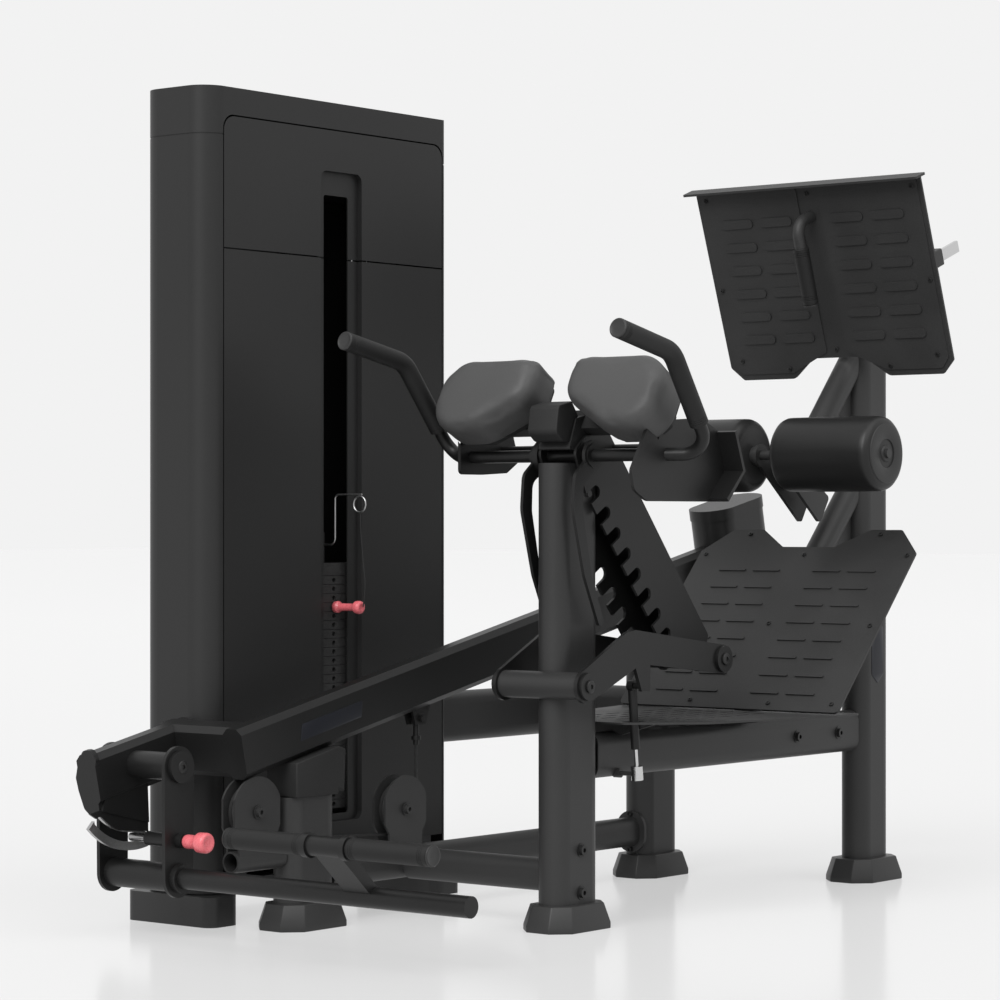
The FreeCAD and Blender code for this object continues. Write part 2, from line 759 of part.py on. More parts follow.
cheek_thick = 5.0
cheek_top_half = 20.0
cheek_over = 16.0
axle_over = 4.0
cheeks = []
for side in (-1, 1):
    cheek_y = stack_y + side * cheek_gap + (cheek_thick if side > 0 else 0)
    shape = [(top_pulley_x - pulley_r, beam_low_z + column_wide),
             (top_pulley_x + pulley_r, beam_low_z + column_wide),
             (top_pulley_x + cheek_top_half, top_pulley_z + cheek_over),
             (top_pulley_x - cheek_top_half, top_pulley_z + cheek_over)]
    cheeks.append(slab(shape, 0, Vector(0, cheek_y, 0), X, Z, cheek_thick))
axle_r = 8.0
axle_gap = 0.08
top_axle = bar(Vector(top_pulley_x, stack_y - cheek_gap - cheek_thick - axle_over, top_pulley_z),
               Vector(top_pulley_x, stack_y + cheek_gap + cheek_thick + axle_over, top_pulley_z), axle_r)
top_bearing = cheeks[0].fuse([cheeks[1], top_axle])
tower_parts = []
for part in [sill, head_beam, stack_bed] + columns + [deck_upright, top_bearing] + tower_feet + tabs:
    tower_parts.append(part.cut(tower_parts) if tower_parts else part)
write("tower_frame", *tower_parts)
write("guide_rods", *rods)


def pulley(middle, wide):
    """A grooved rope wheel on a bore that turns on its axle."""
    half = wide / 2
    groove_r = pulley_r - rope_r * 2
    wheel = bar(middle - Y * half, middle + Y * half, pulley_r)
    groove = Part.makeTorus(pulley_r + rope_r * 0.4, rope_r * 1.5, middle, Y)
    bore = bar(middle - Y * (half + cut_over), middle + Y * (half + cut_over), axle_r + axle_gap)
    face_cut_r = groove_r * 0.72
    hub_r = axle_r * 2
    dish_deep = half * 0.4
    web = ring(middle + Y * (half - dish_deep), middle + Y * (half + cut_over), face_cut_r, hub_r)
    other = ring(middle - Y * (half + cut_over), middle - Y * (half - dish_deep), face_cut_r, hub_r)
    return wheel.cut(groove).cut(bore).cut(web).cut(other)


pulley_wide = 22.0
write("top_pulley", pulley(Vector(top_pulley_x, stack_y, top_pulley_z), pulley_wide))

# Weight stack: plates on two guide rods, drilled for the selector pin
plate_corner = 8.0


def weight_plate(low_z, high, pin_hole):
    """One plate, bored for the rods, the selector rod and, through its front, the pin."""
    half_long = plate_long / 2
    half_deep = plate_deep / 2
    shape = [(stack_x - half_long, stack_y - half_deep), (stack_x + half_long, stack_y - half_deep),
             (stack_x + half_long, stack_y + half_deep), (stack_x - half_long, stack_y + half_deep)]
    plate = slab(shape, plate_corner, Vector(0, 0, low_z), X, Y, high)
    holes = []
    for rod_x in rod_xs:
        holes.append(bar(Vector(rod_x, stack_y, low_z - cut_over),
                         Vector(rod_x, stack_y, low_z + high + cut_over), guide_rod_r + rod_clearance))
    holes.append(bar(Vector(stack_x, stack_y, low_z - cut_over),
                     Vector(stack_x, stack_y, low_z + high + cut_over),
                     selector_rod_r + selector_clearance))
    if pin_hole:
        pin_z = low_z + high / 2
        holes.append(bar(Vector(stack_x, stack_y - plate_deep, pin_z), Vector(stack_x, stack_y, pin_z),
                         selector_r + selector_clearance))
    return plate.cut(holes)


selector_rod_r = 9.0
pitch = plate_high + plate_gap
plates = [weight_plate(stack_floor_z + index * pitch, plate_high, True) for index in range(plate_count)]
resting = plate_count - lifted_count
write("resting_plates", *plates[:resting])
write("lifted_plates", *plates[resting:])
stack_top_z = stack_floor_z + plate_count * pitch
head_plate = weight_plate(stack_top_z, head_high, False)
head_boss_high = 64.0
selector_rod_foot = 6.0
selector_rod_low = stack_floor_z + selector_rod_foot
terminal_r = 9.0
selector_rod = bar(Vector(stack_x, stack_y, selector_rod_low),
                   Vector(stack_x, stack_y, stack_top_z + head_high),
                   selector_rod_r)
for index in range(plate_count):
    pin_z = stack_floor_z + index * pitch + plate_high / 2
    selector_rod = selector_rod.cut(bar(Vector(stack_x, stack_y - plate_deep, pin_z),
                                        Vector(stack_x, stack_y + plate_deep, pin_z),
                                        selector_r + selector_clearance))
boss = bar(Vector(stack_x, stack_y, stack_top_z + head_high),
           Vector(stack_x, stack_y, stack_top_z + head_high + head_boss_high), terminal_r * 1.6)
write("head_plate", head_plate, selector_rod.fuse(boss))

# Selector pin: a spool-shaped pull knob on a steel pin, with its ring and stiff lanyard arm
pin_index = resting
pin_z = stack_floor_z + pin_index * pitch + plate_high / 2
plate_front_y = stack_y - plate_deep / 2
knob_gap = 4.0
knob_long = 76.0
pin_in_knob = 10.0
pin_short = 2.0
knob_start_y = plate_front_y - knob_gap
knob_shares = [(0, 0), (0, 0.1579), (0.1184, 0.1711), (0.2105, 0.1053), (0.6842, 0.1053), (0.7895, 0.1842),
               (0.9211, 0.1711), (1.0, 0)]
knob_points = placed(knob_shares, knob_long, 0, 0)
knob_wire = Part.makePolygon([Vector(stack_x + r, knob_start_y - run, pin_z) for run, r in knob_points]
                             + [Vector(stack_x, knob_start_y, pin_z)])
knob = Part.Face(knob_wire).revolve(Vector(stack_x, knob_start_y, pin_z), Y, 360)
pin_shaft = bar(Vector(stack_x, stack_y - pin_short, pin_z), Vector(stack_x, knob_start_y - pin_in_knob,
                                                                    pin_z),
                selector_r)
write("selector_pin", pin_shaft, knob.cut(pin_shaft))

ring_out = 72.0
ring_up = 149.2
ring_middle = Vector(stack_x, plate_front_y - ring_out, stack_top_z + ring_up)
ring_r = 16.5
ring_wire_r = 1.8
lanyard_ring = Part.makeTorus(ring_r, ring_wire_r, ring_middle, X)
hook_r = 2.0
hook_reach = 34.0
hook_over = 6.0
hook_bend = 14.0
hook_tip_bend = 10.0
hook_seat = Vector(stack_x, stack_y - terminal_r * 1.6, stack_top_z + head_high + head_boss_high * 0.6)
hook_end = ring_middle + Z * (ring_r + ring_wire_r + hook_r)
hook_knee = Vector(stack_x, hook_seat.y - hook_reach, hook_seat.z)
lanyard_arm = tube_path([hook_seat, hook_knee, Vector(stack_x, hook_knee.y, hook_end.z),
                         Vector(stack_x, hook_end.y - hook_over, hook_end.z)], [hook_bend,
                                                                                hook_tip_bend], hook_r)
write("lanyard_arm", lanyard_arm, lanyard_ring)

# Selector lanyard: a limp cord from the ring down to the tail of the pin knob
lanyard_r = 1.2
lanyard_route = [Vector(-15.0, 531.0, 824.5), Vector(-16.0, 530.0, 790.0), Vector(-14.5, 527.0, 755.0),
                 Vector(-15.5, 523.0, 720.0), Vector(-14.0, 519.0, 688.0), Vector(-15.0, 518.0, 658.0),
                 Vector(-15.0, 523.6, 628.2)]


def cord(route, radius, start_trim=0):
    """A tube of straight runs and tangent arcs along a route, each arc as large as its runs allow."""
    radii = []
    for index in range(1, len(route) - 1):
        before = route[index - 1] - route[index]
        after = route[index + 1] - route[index]
        run = min(before.Length, after.Length)
        turn = math.pi - before.getAngle(after)
        radii.append(0.45 * run / math.tan(turn / 2))
    print("cord radii", [round(value) for value in radii])
    tube = tube_path(route, radii, radius)
    length = sum((route[index + 1] - route[index]).Length for index in range(len(route) - 1))
    print("cord length",
          round(length), "volume share", round(tube.Volume / (math.pi * radius ** 2 * length), 3))
    return tube


write("lanyard_cord", cord(lanyard_route, lanyard_r))

# Lever: a sloping box beam on the far side, its cross stub and front arm, and the counterweight
beam_way = Vector(math.cos(beam_slope), 0, math.sin(beam_slope))
beam_up = Vector(-math.sin(beam_slope), 0, math.cos(beam_slope))
pivot = Vector(pivot_post_x, lever_y, pivot_z)


def on_beam(x, y=lever_y, up=0.0):
    """A point on the beam's axis at a given x, or above it by up."""
    return pivot + beam_way * ((x - pivot_post_x) / beam_way.x) + Y * (y - lever_y) + beam_up * up


def bevelled(high, wide, bevel):
    """Corner points of a box section with its corners cut off."""
    h = high / 2
    w = wide / 2
    return [(-w + bevel, -h), (w - bevel, -h), (w, -h + bevel), (w, h - bevel),
            (w - bevel, h), (-w + bevel, h), (-w, h - bevel), (-w, -h + bevel)]


stub_wide = 62.0
beam_grip = 80.0
section = bevelled(beam_high, beam_wide, beam_bevel)
beam_start = on_beam(beam_front_x)
beam_length = (beam_rear_x - beam_front_x) / beam_way.x
beam_tail = beam_way * beam_grip
beam = Part.Face(outline(section, 0, beam_start, Y, beam_up)).extrude(beam_way * beam_length + beam_tail)
hollow_section = bevelled(beam_high - beam_wall * 2, beam_wide - beam_wall * 2, beam_bevel - beam_wall / 2)
hollow_start = on_beam(beam_front_x + stub_wide)
hollow = Part.Face(outline(hollow_section, 0, hollow_start, Y, beam_up))
hollow = hollow.extrude(beam_way * (beam_length - stub_wide / beam_way.x) + beam_tail - beam_way * beam_wall)
stub_section = bevelled(beam_high, stub_wide, beam_bevel)
stub_middle = on_beam(beam_front_x + stub_wide / 2)
stub_start_y = lever_y - beam_wide / 2 + beam_bevel
stub_origin = stub_middle + Y * (stub_start_y - lever_y)
stub_face = Part.Face(outline(stub_section, 0, stub_origin, beam_way, beam_up))
stub = stub_face.extrude(Y * (arm_y + beam_wide / 2 - stub_start_y))
arm_start = on_beam(beam_front_x + stub_wide, arm_y)
arm_end = on_beam(nose_x, arm_y)
arm = Part.Face(outline(section, 0, arm_start, Y, beam_up)).extrude(arm_end - arm_start)
pivot_bore_r = pivot_pin_r + pivot_clearance
pivot_tool = bar(pivot - Y * beam_wide, pivot + Y * beam_wide, pivot_bore_r)
boss_r = 30.0
boss_over = 4.0
pivot_boss = bar(pivot - Y * (beam_wide / 2 + boss_over), pivot + Y * (beam_wide / 2 + boss_over), boss_r)
handle_pivot = Vector(handle_pivot_x, 0, handle_pivot_z)
handle_tube_r = 27.0
front_plate_y = 471.0
rear_plate_y = 650.0
handle_plate_thick = 8.0
handle_pin_r = 12.0
tube_end_gap = 0.5
pivot_tube_start = handle_pivot + Y * (front_plate_y + handle_plate_thick + tube_end_gap)
pivot_tube_end = handle_pivot + Y * (rear_plate_y - tube_end_gap)
pivot_tube = bar(pivot_tube_start, pivot_tube_end, handle_tube_r)
handle_bore = bar(handle_pivot + Y * (front_plate_y - cut_over * 4),
                  handle_pivot + Y * (rear_plate_y + cut_over * 4), handle_pin_r + pivot_clearance)
lever_beam = beam.cut(hollow).fuse([stub, arm, pivot_boss, pivot_tube]).cut(pivot_tool).cut(handle_bore)

nose_thick = 10.0
nose_size = 80.0
nose_shape = [(-0.425, 0.05), (-0.2375, 0.5), (-0.025, 0.75), (0.275, 0.775), (0.375, 0.5), (0.15, 0.05),
              (0.2, -0.35), (0.225, -0.75), (0.0, -1.0), (-0.3, -0.725), (-0.4, -0.275)]
nose_turns = shares([0.075, 0.15, 0.175, 0.2, 0.15, 0.25, 0.15, 0.175, 0.2, 0.175, 0.125], nose_size)
nose_points = placed([(-y, z) for y, z in nose_shape], nose_size, 0, 0)
nose_cap = slab(nose_points, nose_turns, arm_end, Y, beam_up, nose_thick)

# Counterweight: a heavy flat oval upright on the rear end of the beam, clamped by a bent plate
weight_long = 215.0
weight_wide = 112.0
weight_high = 135.0
weight_low = 100.0
weight_cap_high = 26.0
weight_cap_over = 2.0
weight_middle = on_beam(beam_rear_x + weight_long / 2)
weight_shoulder = weight_middle + beam_up * (weight_high - weight_cap_high)
counterweight = oval_bar(weight_middle - beam_up * weight_low, weight_shoulder, beam_way, weight_long,
                         weight_wide)
weight_cap = oval_bar(weight_shoulder, weight_middle + beam_up * weight_high, beam_way,
                      weight_long + weight_cap_over * 2, weight_wide + weight_cap_over * 2)
counterweight = counterweight.cut(beam)
clamp_front_x = 1015.0
clamp_rear_x = 1224.0
clamp_high = 40.0
clamp_low = 34.0
clamp_cut = 26.0
clamp_thick = 7.0
clamp_y = lever_y - weight_wide / 2 - clamp_thick
clamp_shape = []
for x, up in ((clamp_front_x, -clamp_low), (clamp_rear_x, -clamp_low), (clamp_rear_x, clamp_high),
              (clamp_front_x + clamp_cut, clamp_high), (clamp_front_x, clamp_high - clamp_cut)):
    corner = on_beam(x, lever_y, up)
    clamp_shape.append((corner.x, corner.z))
clamp = slab(clamp_shape, 0, Vector(0, clamp_y + clamp_thick, 0), X, Z, clamp_thick)
clamp_bolt_x = clamp_front_x + clamp_cut
clamp_seat = on_beam(clamp_bolt_x, clamp_y)
clamp_bolt = socket_bolt(clamp_seat, Y * -1)
clamp_packer = bar(clamp_seat + Y * clamp_thick, on_beam(clamp_bolt_x, lever_y - beam_wide / 2),
                   bolt_head_r * 2)
clamp = clamp.fuse([clamp_bolt, clamp_packer])
write("counterweight", counterweight, weight_cap, clamp)

# Cable bracket under the beam, with the screwed terminal that the cable hangs from
anchor_x = 34.4
anchor = on_beam(anchor_x, lever_y, -beam_high / 2)
bracket_high = 34.0
bracket_long = 60.0
bracket_half = 7.0
bracket_thick = 6.0
bracket_foot = 16.0
clevis_half = 6.0
anchor_drop = 22.0
anchor_over = 8.0
anchor_r = 7.0
anchor_pin = anchor - Z * anchor_drop
bracket_plates = []
for side in (-1, 1):
    y0 = lever_y + side * bracket_half + (bracket_thick if side > 0 else 0)
    shape = [(anchor.x - bracket_long / 2, anchor.z + bracket_long / 2 * math.tan(beam_slope)),
             (anchor.x - bracket_foot, anchor.z - bracket_high), (anchor.x + bracket_foot,
                                                                  anchor.z - bracket_high),
             (anchor.x + bracket_long / 2, anchor.z + bracket_long / 2 * math.tan(beam_slope))]
    bracket_plates.append(slab(shape, 0, Vector(0, y0, 0), X, Z, bracket_thick).cut(beam))
anchor_reach = Y * (bracket_half + bracket_thick + anchor_over)
anchor_bolt = bar(anchor_pin - anchor_reach, anchor_pin + anchor_reach, anchor_r)
cable_bracket = bracket_plates[0].fuse([bracket_plates[1], anchor_bolt])
cable_x = anchor_pin.x
clevis_long = 54.0
clevis_low_z = anchor_pin.z - clevis_long
clevis_pin_r = 7.0
clevis_r = 13.0
stem_start = 11.0
stem_r = 6.0
nut_low = 10.0
nut_high = 8.0
nut_r = 10.0
clevis_eye = Vector(cable_x, lever_y, anchor_pin.z)
clevis = ring(clevis_eye - Y * clevis_half, clevis_eye + Y * clevis_half, clevis_r, clevis_pin_r)
clevis_stem = bar(Vector(cable_x, lever_y, anchor_pin.z - stem_start),
                  Vector(cable_x, lever_y, clevis_low_z), stem_r)
nut_seat = Vector(cable_x, lever_y, clevis_low_z + nut_low)
clevis_nut = bar(nut_seat, nut_seat + Z * nut_high, nut_r)
write("cable_bracket", cable_bracket, clevis.fuse([clevis_stem, clevis_nut]))

# Base pulleys: two cheeked rope wheels at floor level that turn the cable into the tower
lower_pulley_z = 214.0
far_pulley_x = -454.0
far_pulley_z = 240.0
lower_pulley = Vector(cable_x - wrap_r, lever_y, lower_pulley_z)
far_pulley = Vector(far_pulley_x, lever_y, far_pulley_z)
low_cheek_gap = 13.0
low_cheek_thick = 5.0
low_cheek_r = 70.0
low_axle_over = 2.0


def cheek_pair(middle, low_z, half_long):
    """Two cheek plates, round at the top and cut off square where they are welded down."""
    plates_made = []
    for side in (-1, 1):
        inner = middle.y + side * low_cheek_gap
        start = Vector(middle.x, min(inner, inner + side * low_cheek_thick), middle.z)
        disc = bar(start, start + Y * low_cheek_thick, low_cheek_r)
        trim = block(Vector(middle.x - half_long, start.y - cut_over, low_z),
                     Vector(middle.x + half_long, start.y + low_cheek_thick + cut_over,
                            middle.z + low_cheek_r * 2))
        foot = block(Vector(middle.x - half_long * 0.8, start.y, low_z),
                     Vector(middle.x + half_long * 0.8, start.y + low_cheek_thick, middle.z))
        plates_made.append(disc.common(trim).fuse(foot))
    end = low_cheek_gap + low_cheek_thick
    axle_end = Y * (end + low_axle_over)
    axle = bar(middle - axle_end, middle + axle_end, axle_r)
    head = socket_bolt(middle - axle_end, Y * -1, bolt_head_r, bolt_head_high)
    return plates_made[0].fuse([plates_made[1], axle, head]).removeSplitter()


base_top_z = base_tube_z + base_tube_long / 2
cheek_sink = 16.0
base_tube_solid = oval_bar(long_start, long_end, Z, base_tube_long, base_tube_wide)
stop_tube_solid = bar(Vector(stop_post_x - half_post, lever_y, stop_tube_z), stop_tube_end, stop_tube_r)
low_cheeks = cheek_pair(lower_pulley, base_top_z - cheek_sink, low_cheek_r * 0.92).cut(base_tube_solid)
far_low_z = stop_tube_z + stop_tube_r - cheek_sink
far_cheeks = cheek_pair(far_pulley, far_low_z, low_cheek_r * 0.92).cut(stop_tube_solid)
write("base_pulley_cheeks", low_cheeks, far_cheeks)
write("lower_pulley", pulley(lower_pulley, pulley_wide))
write("far_pulley", pulley(far_pulley, pulley_wide))

# Drive cable: down from the terminal, round the lower pulley and along to the far pulley
cable_top = Vector(cable_x, lever_y, clevis_low_z)
cable_turn = Vector(cable_x, lever_y, lower_pulley.z)
write("drop_cable", bar(cable_top, cable_turn, rope_r))
run_way = far_pulley - lower_pulley
run_way.normalize()
run_down = Vector(run_way.z, 0, -run_way.x) * wrap_r
if run_down.z > 0:
    run_down = run_down * -1
wrap_turn = lower_pulley + run_down
wrap_middle = lower_pulley + (X * wrap_r + run_down) * (wrap_r / (X * wrap_r + run_down).Length)
run_edges = [Part.Arc(cable_turn, wrap_middle, wrap_turn).toShape(),
             Part.LineSegment(wrap_turn, far_pulley + run_down).toShape()]
run_profile = Part.Wire(Part.makeCircle(rope_r, cable_turn, Z))
run_cable = Part.Wire(run_edges).makePipeShell([run_profile], True, True)
write("run_cable", run_cable)

# The posts that carry the lever: the stop post is drilled for the cable that runs through it
cable_hole = bar(wrap_turn, far_pulley + run_down, rope_r)
stop_post = stop_post.cut(cable_hole)

# Stop pad: a rubber saddle with a sloping wedge on top of the stop post, under the beam
saddle_top_gap = 0.4
saddle_low_z = stop_post_height
saddle_half = 62.0
saddle_wide = 82.0
beam_under = beam_high / 2 / math.cos(beam_slope)


def under_beam(x):
    """The height of the beam's underside at a given x, less the seat gap."""
    return on_beam(x).z - beam_under - saddle_top_gap


saddle_shape = [(stop_post_x - saddle_half, saddle_low_z), (stop_post_x + saddle_half, saddle_low_z),
                (stop_post_x + saddle_half, under_beam(stop_post_x + saddle_half)),
                (stop_post_x - saddle_half, under_beam(stop_post_x - saddle_half))]
saddle = slab(saddle_shape, 0, Vector(0, lever_y + saddle_wide / 2, 0), X, Z, saddle_wide)
wedge_thick = 22.0
wedge_heel_up = 14.0
wedge_toe_up = 4.0
wedge_top_drop = 10.0
wedge_x = stop_post_x + saddle_half
wedge_shape = [(wedge_x, saddle_low_z + wedge_heel_up), (wedge_x + wedge_thick * 0.8,
                                                         saddle_low_z + wedge_toe_up),
               (wedge_x + wedge_thick, under_beam(wedge_x + wedge_thick) - wedge_top_drop),
               (wedge_x, under_beam(wedge_x))]
wedge = slab(wedge_shape, 0, Vector(0, lever_y + saddle_wide / 2, 0), X, Z, saddle_wide)
write("stop_saddle", saddle.fuse(wedge).removeSplitter())

# Pivot yoke on the pivot post: two cheeks, a cap plate and the lever's pivot pin
yoke_clear = 4.5
yoke_gap = beam_wide / 2 + yoke_clear
yoke_corner = 24.0
pin_over = 6.0
yoke_thick = 10.0
yoke_half = 44.0
yoke_low_z = pivot_post_top
yoke_cap = block(Vector(pivot_post_x - post_long / 2, lever_y - yoke_gap - yoke_thick, yoke_low_z),
                 Vector(pivot_post_x + post_long / 2, lever_y + yoke_gap + yoke_thick,
                        yoke_low_z + yoke_thick))
yoke = yoke_cap
for side in (-1, 1):
    y0 = lever_y + side * yoke_gap + (yoke_thick if side > 0 else 0)
    shape = [(pivot_post_x - yoke_half, yoke_low_z), (pivot_post_x + yoke_half, yoke_low_z),
             (pivot_post_x + yoke_half * 0.7, pivot_z + yoke_half * 0.8),
             (pivot_post_x - yoke_half * 0.7, pivot_z + yoke_half * 0.8)]
    yoke = yoke.fuse(slab(shape, [0, 0, yoke_corner, yoke_corner], Vector(0, y0, 0), X, Z, yoke_thick))
pin_half = yoke_gap + yoke_thick + pin_over
pivot_pin = bar(pivot - Y * pin_half, pivot + Y * pin_half, pivot_pin_r)
lever_pivot_post = pivot_post.fuse([yoke, pivot_pin]).removeSplitter()
write("lever_posts", stop_post, lever_pivot_post)

# Handle frame: two hanging plates, a long low bar and a raised cross bar with two grips
plate_top_r = 40.0
plate_low_r = 38.0
low_z = handle_pivot_z - drop
low_bar = Vector(handle_pivot_x, 0, low_z)


def hanging_plate(y):
    """A hanging plate, rounded round the pivot at its top and round the bar at its foot."""
    top = bar(handle_pivot + Y * y, handle_pivot + Y * (y + handle_plate_thick), plate_top_r)
    low = bar(low_bar + Y * y, low_bar + Y * (y + handle_plate_thick), plate_low_r)
    web = slab([(handle_pivot_x - plate_low_r, low_z), (handle_pivot_x + plate_low_r, low_z),
                (handle_pivot_x + plate_top_r, handle_pivot_z), (handle_pivot_x - plate_top_r,
                                                                 handle_pivot_z)],
               0, Vector(0, y + handle_plate_thick, 0), X, Z, handle_plate_thick)
    return top.fuse([low, web]).removeSplitter()


front_plate = hanging_plate(front_plate_y)
rear_plate = hanging_plate(rear_plate_y)
handle_pin_over = 6.0
handle_pin = bar(handle_pivot + Y * (front_plate_y - handle_pin_over),
                 handle_pivot + Y * (rear_plate_y + handle_plate_thick + handle_pin_over), handle_pin_r)
pin_disc_r = 31.0
pin_disc_thick = 10.0
pin_well_deep = 3.0
pin_well_r = 7.0
pin_disc_start = handle_pivot + Y * (front_plate_y - pin_disc_thick)
pin_disc = bar(pin_disc_start, handle_pivot + Y * front_plate_y, pin_disc_r)
pin_disc = pin_disc.cut(bar(pin_disc_start - Y * cut_over, pin_disc_start + Y * pin_well_deep, pin_well_r))
spacer_r = 28.0
spacer = bar(low_bar + Y * (front_plate_y + handle_plate_thick), low_bar + Y * rear_plate_y, spacer_r)

long_bar = bar(low_bar + Y * bar_end_y, low_bar + Y * front_plate_y, bar_r)
grip_bar_x = handle_pivot_x - grip_forward
grip_bar_z = low_z + grip_up
strut_wide_y = 62.0
strut_deep = 26.0
grip_tube_r = 15.0
strut_points = [(handle_pivot_x - strut_deep * 0.6, low_z + strut_deep * 0.231),
                (handle_pivot_x + strut_deep * 0.5, low_z + strut_deep * 0.385),
                (grip_bar_x + strut_deep * 0.6, grip_bar_z + strut_deep * 0.077),
                (grip_bar_x - strut_deep * 0.6, grip_bar_z - strut_deep * 0.154)]
riser = slab(strut_points, 0, Vector(0, strut_wide_y / 2, 0), X, Z, strut_wide_y)
grip_middle = Vector(grip_bar_x, 0, grip_bar_z)
grip_end_in = 4.0
sleeve_in = 1.0
bar_collar_over = 8.0
grip_collar_over = 3.0
grip_tube_half = Y * (grip_reach - grip_end_in)
grip_tube = bar(grip_middle - grip_tube_half, grip_middle + grip_tube_half, grip_tube_r)
middle_half = 40.0
middle_sleeve = bar(grip_middle - Y * middle_half, grip_middle + Y * middle_half, grip_r - sleeve_in)
collar_wide = 14.0
bar_collar = bar(low_bar + Y * (front_plate_y - collar_wide), low_bar + Y * front_plate_y,
                 bar_r + bar_collar_over)
handle_bar = long_bar.fuse([riser, grip_tube, middle_sleeve, bar_collar]).removeSplitter()
grips = []
grip_collars = []
for side in (-1, 1):
    inner = grip_middle + Y * (side * (middle_half + collar_wide))
    outer = grip_middle + Y * (side * grip_reach)
    grips.append(bar(inner, outer, grip_r).cut(grip_tube))
    collar_start = grip_middle + Y * (side * middle_half)
    grip_collars.append(ring(collar_start, inner, grip_r + grip_collar_over, grip_tube_r))
write("bar_grips", *grips)
write("handle_bar", handle_bar, *[collar.cut(handle_bar) for collar in grip_collars])

# Index sector on the lever, and the sprung pull pin that locks the handle frame to it
sector_y = 596.0
sector_thick = 8.0
sector_out_r = 168.0
sector_in_r = 118.0
sector_hole_r = 9.0
pull_drop = 142.0
pull_z = handle_pivot_z - pull_drop
sector_start = handle_pivot + Y * sector_y
sector = ring(sector_start, sector_start + Y * sector_thick, sector_out_r, sector_in_r)
sector_reach = 200.0
sector_pick = slab([(handle_pivot_x, handle_pivot_z),
                    (handle_pivot_x - sector_reach, handle_pivot_z - sector_reach),
                    (handle_pivot_x + sector_reach * 0.25, handle_pivot_z - sector_reach)], 0,
                   Vector(0, sector_y + sector_thick * 2, 0), X, Z, sector_thick * 3)
sector = sector.common(sector_pick)
handle_swing = math.radians(42.0)
slot_clear = 0.3
slot_half = sector_hole_r + slot_clear
slot_ring = ring(sector_start - Y * cut_over, sector_start + Y * (sector_thick + cut_over),
                 pull_drop + slot_half,
                 pull_drop - slot_half)
slot_far = Vector(-math.sin(handle_swing), 0, -math.cos(handle_swing))
slot_reach = sector_out_r / math.cos(handle_swing / 2) + cut_over
slot_half_way = Vector(-math.sin(handle_swing / 2), 0, -math.cos(handle_swing / 2))
slot_wedge = [(handle_pivot_x, handle_pivot_z), (handle_pivot_x, handle_pivot_z - slot_reach)]
for way in (slot_half_way, slot_far):
    slot_wedge.append((handle_pivot_x + way.x * slot_reach, handle_pivot_z + way.z * slot_reach))
slot_pick = slab(slot_wedge, 0, Vector(0, sector_y + sector_thick * 3, 0), X, Z, sector_thick * 5)
slot_tool = slot_ring.common(slot_pick)
for way in (Z * -1, slot_far):
    middle = handle_pivot + way * pull_drop
    slot_tool = slot_tool.fuse(bar(middle + Y * (sector_y - cut_over),
                                   middle + Y * (sector_y + sector_thick + cut_over), slot_half))
sector = sector.cut(slot_tool)
sector = sector.cut(lever_beam.fuse(nose_cap))
write("index_sector", *sector.Solids)
hanger_size = 120.0
hanger_thick = 7.0
sector_gap = 0.5
hanger_shares = [(-0.75, -0.7167), (0.3, -0.9667), (0.25, 0), (-0.5, 0.1)]
hanger_points = placed(hanger_shares, hanger_size, handle_pivot_x, handle_pivot_z)
hanger = slab(hanger_points, 0, Vector(0, sector_y - sector_gap, 0), X, Z, hanger_thick)
lip_shares = [(-1.0, -0.75), (-0.5, -1.0333), (0.3, -1.1167), (0.3, -0.9333), (-0.75, -0.7)]
hanger_lip = placed(lip_shares, hanger_size, handle_pivot_x, handle_pivot_z)
hanger = hanger.fuse(slab(hanger_lip, 0, Vector(0, sector_y, 0), X, Z, cut_over))
hanger = hanger.cut(bar(handle_pivot + Y * (sector_y - far), handle_pivot + Y * (sector_y + far),
                        handle_tube_r))
hanger = hanger.cut(arm).cut(stub)
hanger = hanger.cut(slot_tool).cut(sector)
lever_beam = lever_beam.fuse([nose_cap, hanger]).removeSplitter()
write("lever_beam", lever_beam)

pull_axis = Vector(handle_pivot_x, 0, pull_z)
housing_r = 14.0
pull_pin_r = 8.0
housing_front = 16.0
housing_rear = 84.0
pull_pin_front = 30.0
pull_knob_long = 60.0
pull_knob_seat = 18.0
pin_housing = ring(pull_axis + Y * (front_plate_y - housing_front),
                   pull_axis + Y * (front_plate_y + housing_rear),
                   housing_r, pull_pin_r + pivot_clearance)
plate_hole = bar(pull_axis + Y * (front_plate_y - cut_over), pull_axis + Y * (front_plate_y + far),
                 housing_r)
write("handle_plates", front_plate.cut(plate_hole).fuse([rear_plate, spacer, handle_pin, pin_disc,
                                                         pin_housing])
      .removeSplitter())
pull_pin = bar(pull_axis + Y * (front_plate_y - pull_pin_front), pull_axis + Y * (sector_y + sector_thick),
               pull_pin_r)
pull_shares = [(0, 0), (0, 0.2167), (0.1, 0.2333), (0.5, 0.2167), (0.6, 0.3333), (0.9333, 0.3333),
               (1.0, 0.2667),
               (1.0, 0)]
pull_points = placed(pull_shares, pull_knob_long, 0, 0)
pull_start_y = front_plate_y - pull_knob_seat
pull_wire = Part.makePolygon([Vector(handle_pivot_x + r, pull_start_y - run, pull_z) for run,
                              r in pull_points]
                             + [Vector(handle_pivot_x, pull_start_y, pull_z)])
pull_knob = Part.Face(pull_wire).revolve(Vector(handle_pivot_x, pull_start_y, pull_z), Y, 360)
write("pull_pin", pull_pin, pull_knob.cut(pull_pin))

# Adjuster arm: a pair of cranked plates on the pivot tube through the front post
arm_pivot = Vector(arm_pivot_x, 0, arm_pivot_z)
arm_far = Vector(arm_end_x, 0, arm_end_z)
arm_half_wide = 33.0
apex_x = 74.0
apex_top_z = 592.0
apex_low_z = 524.0


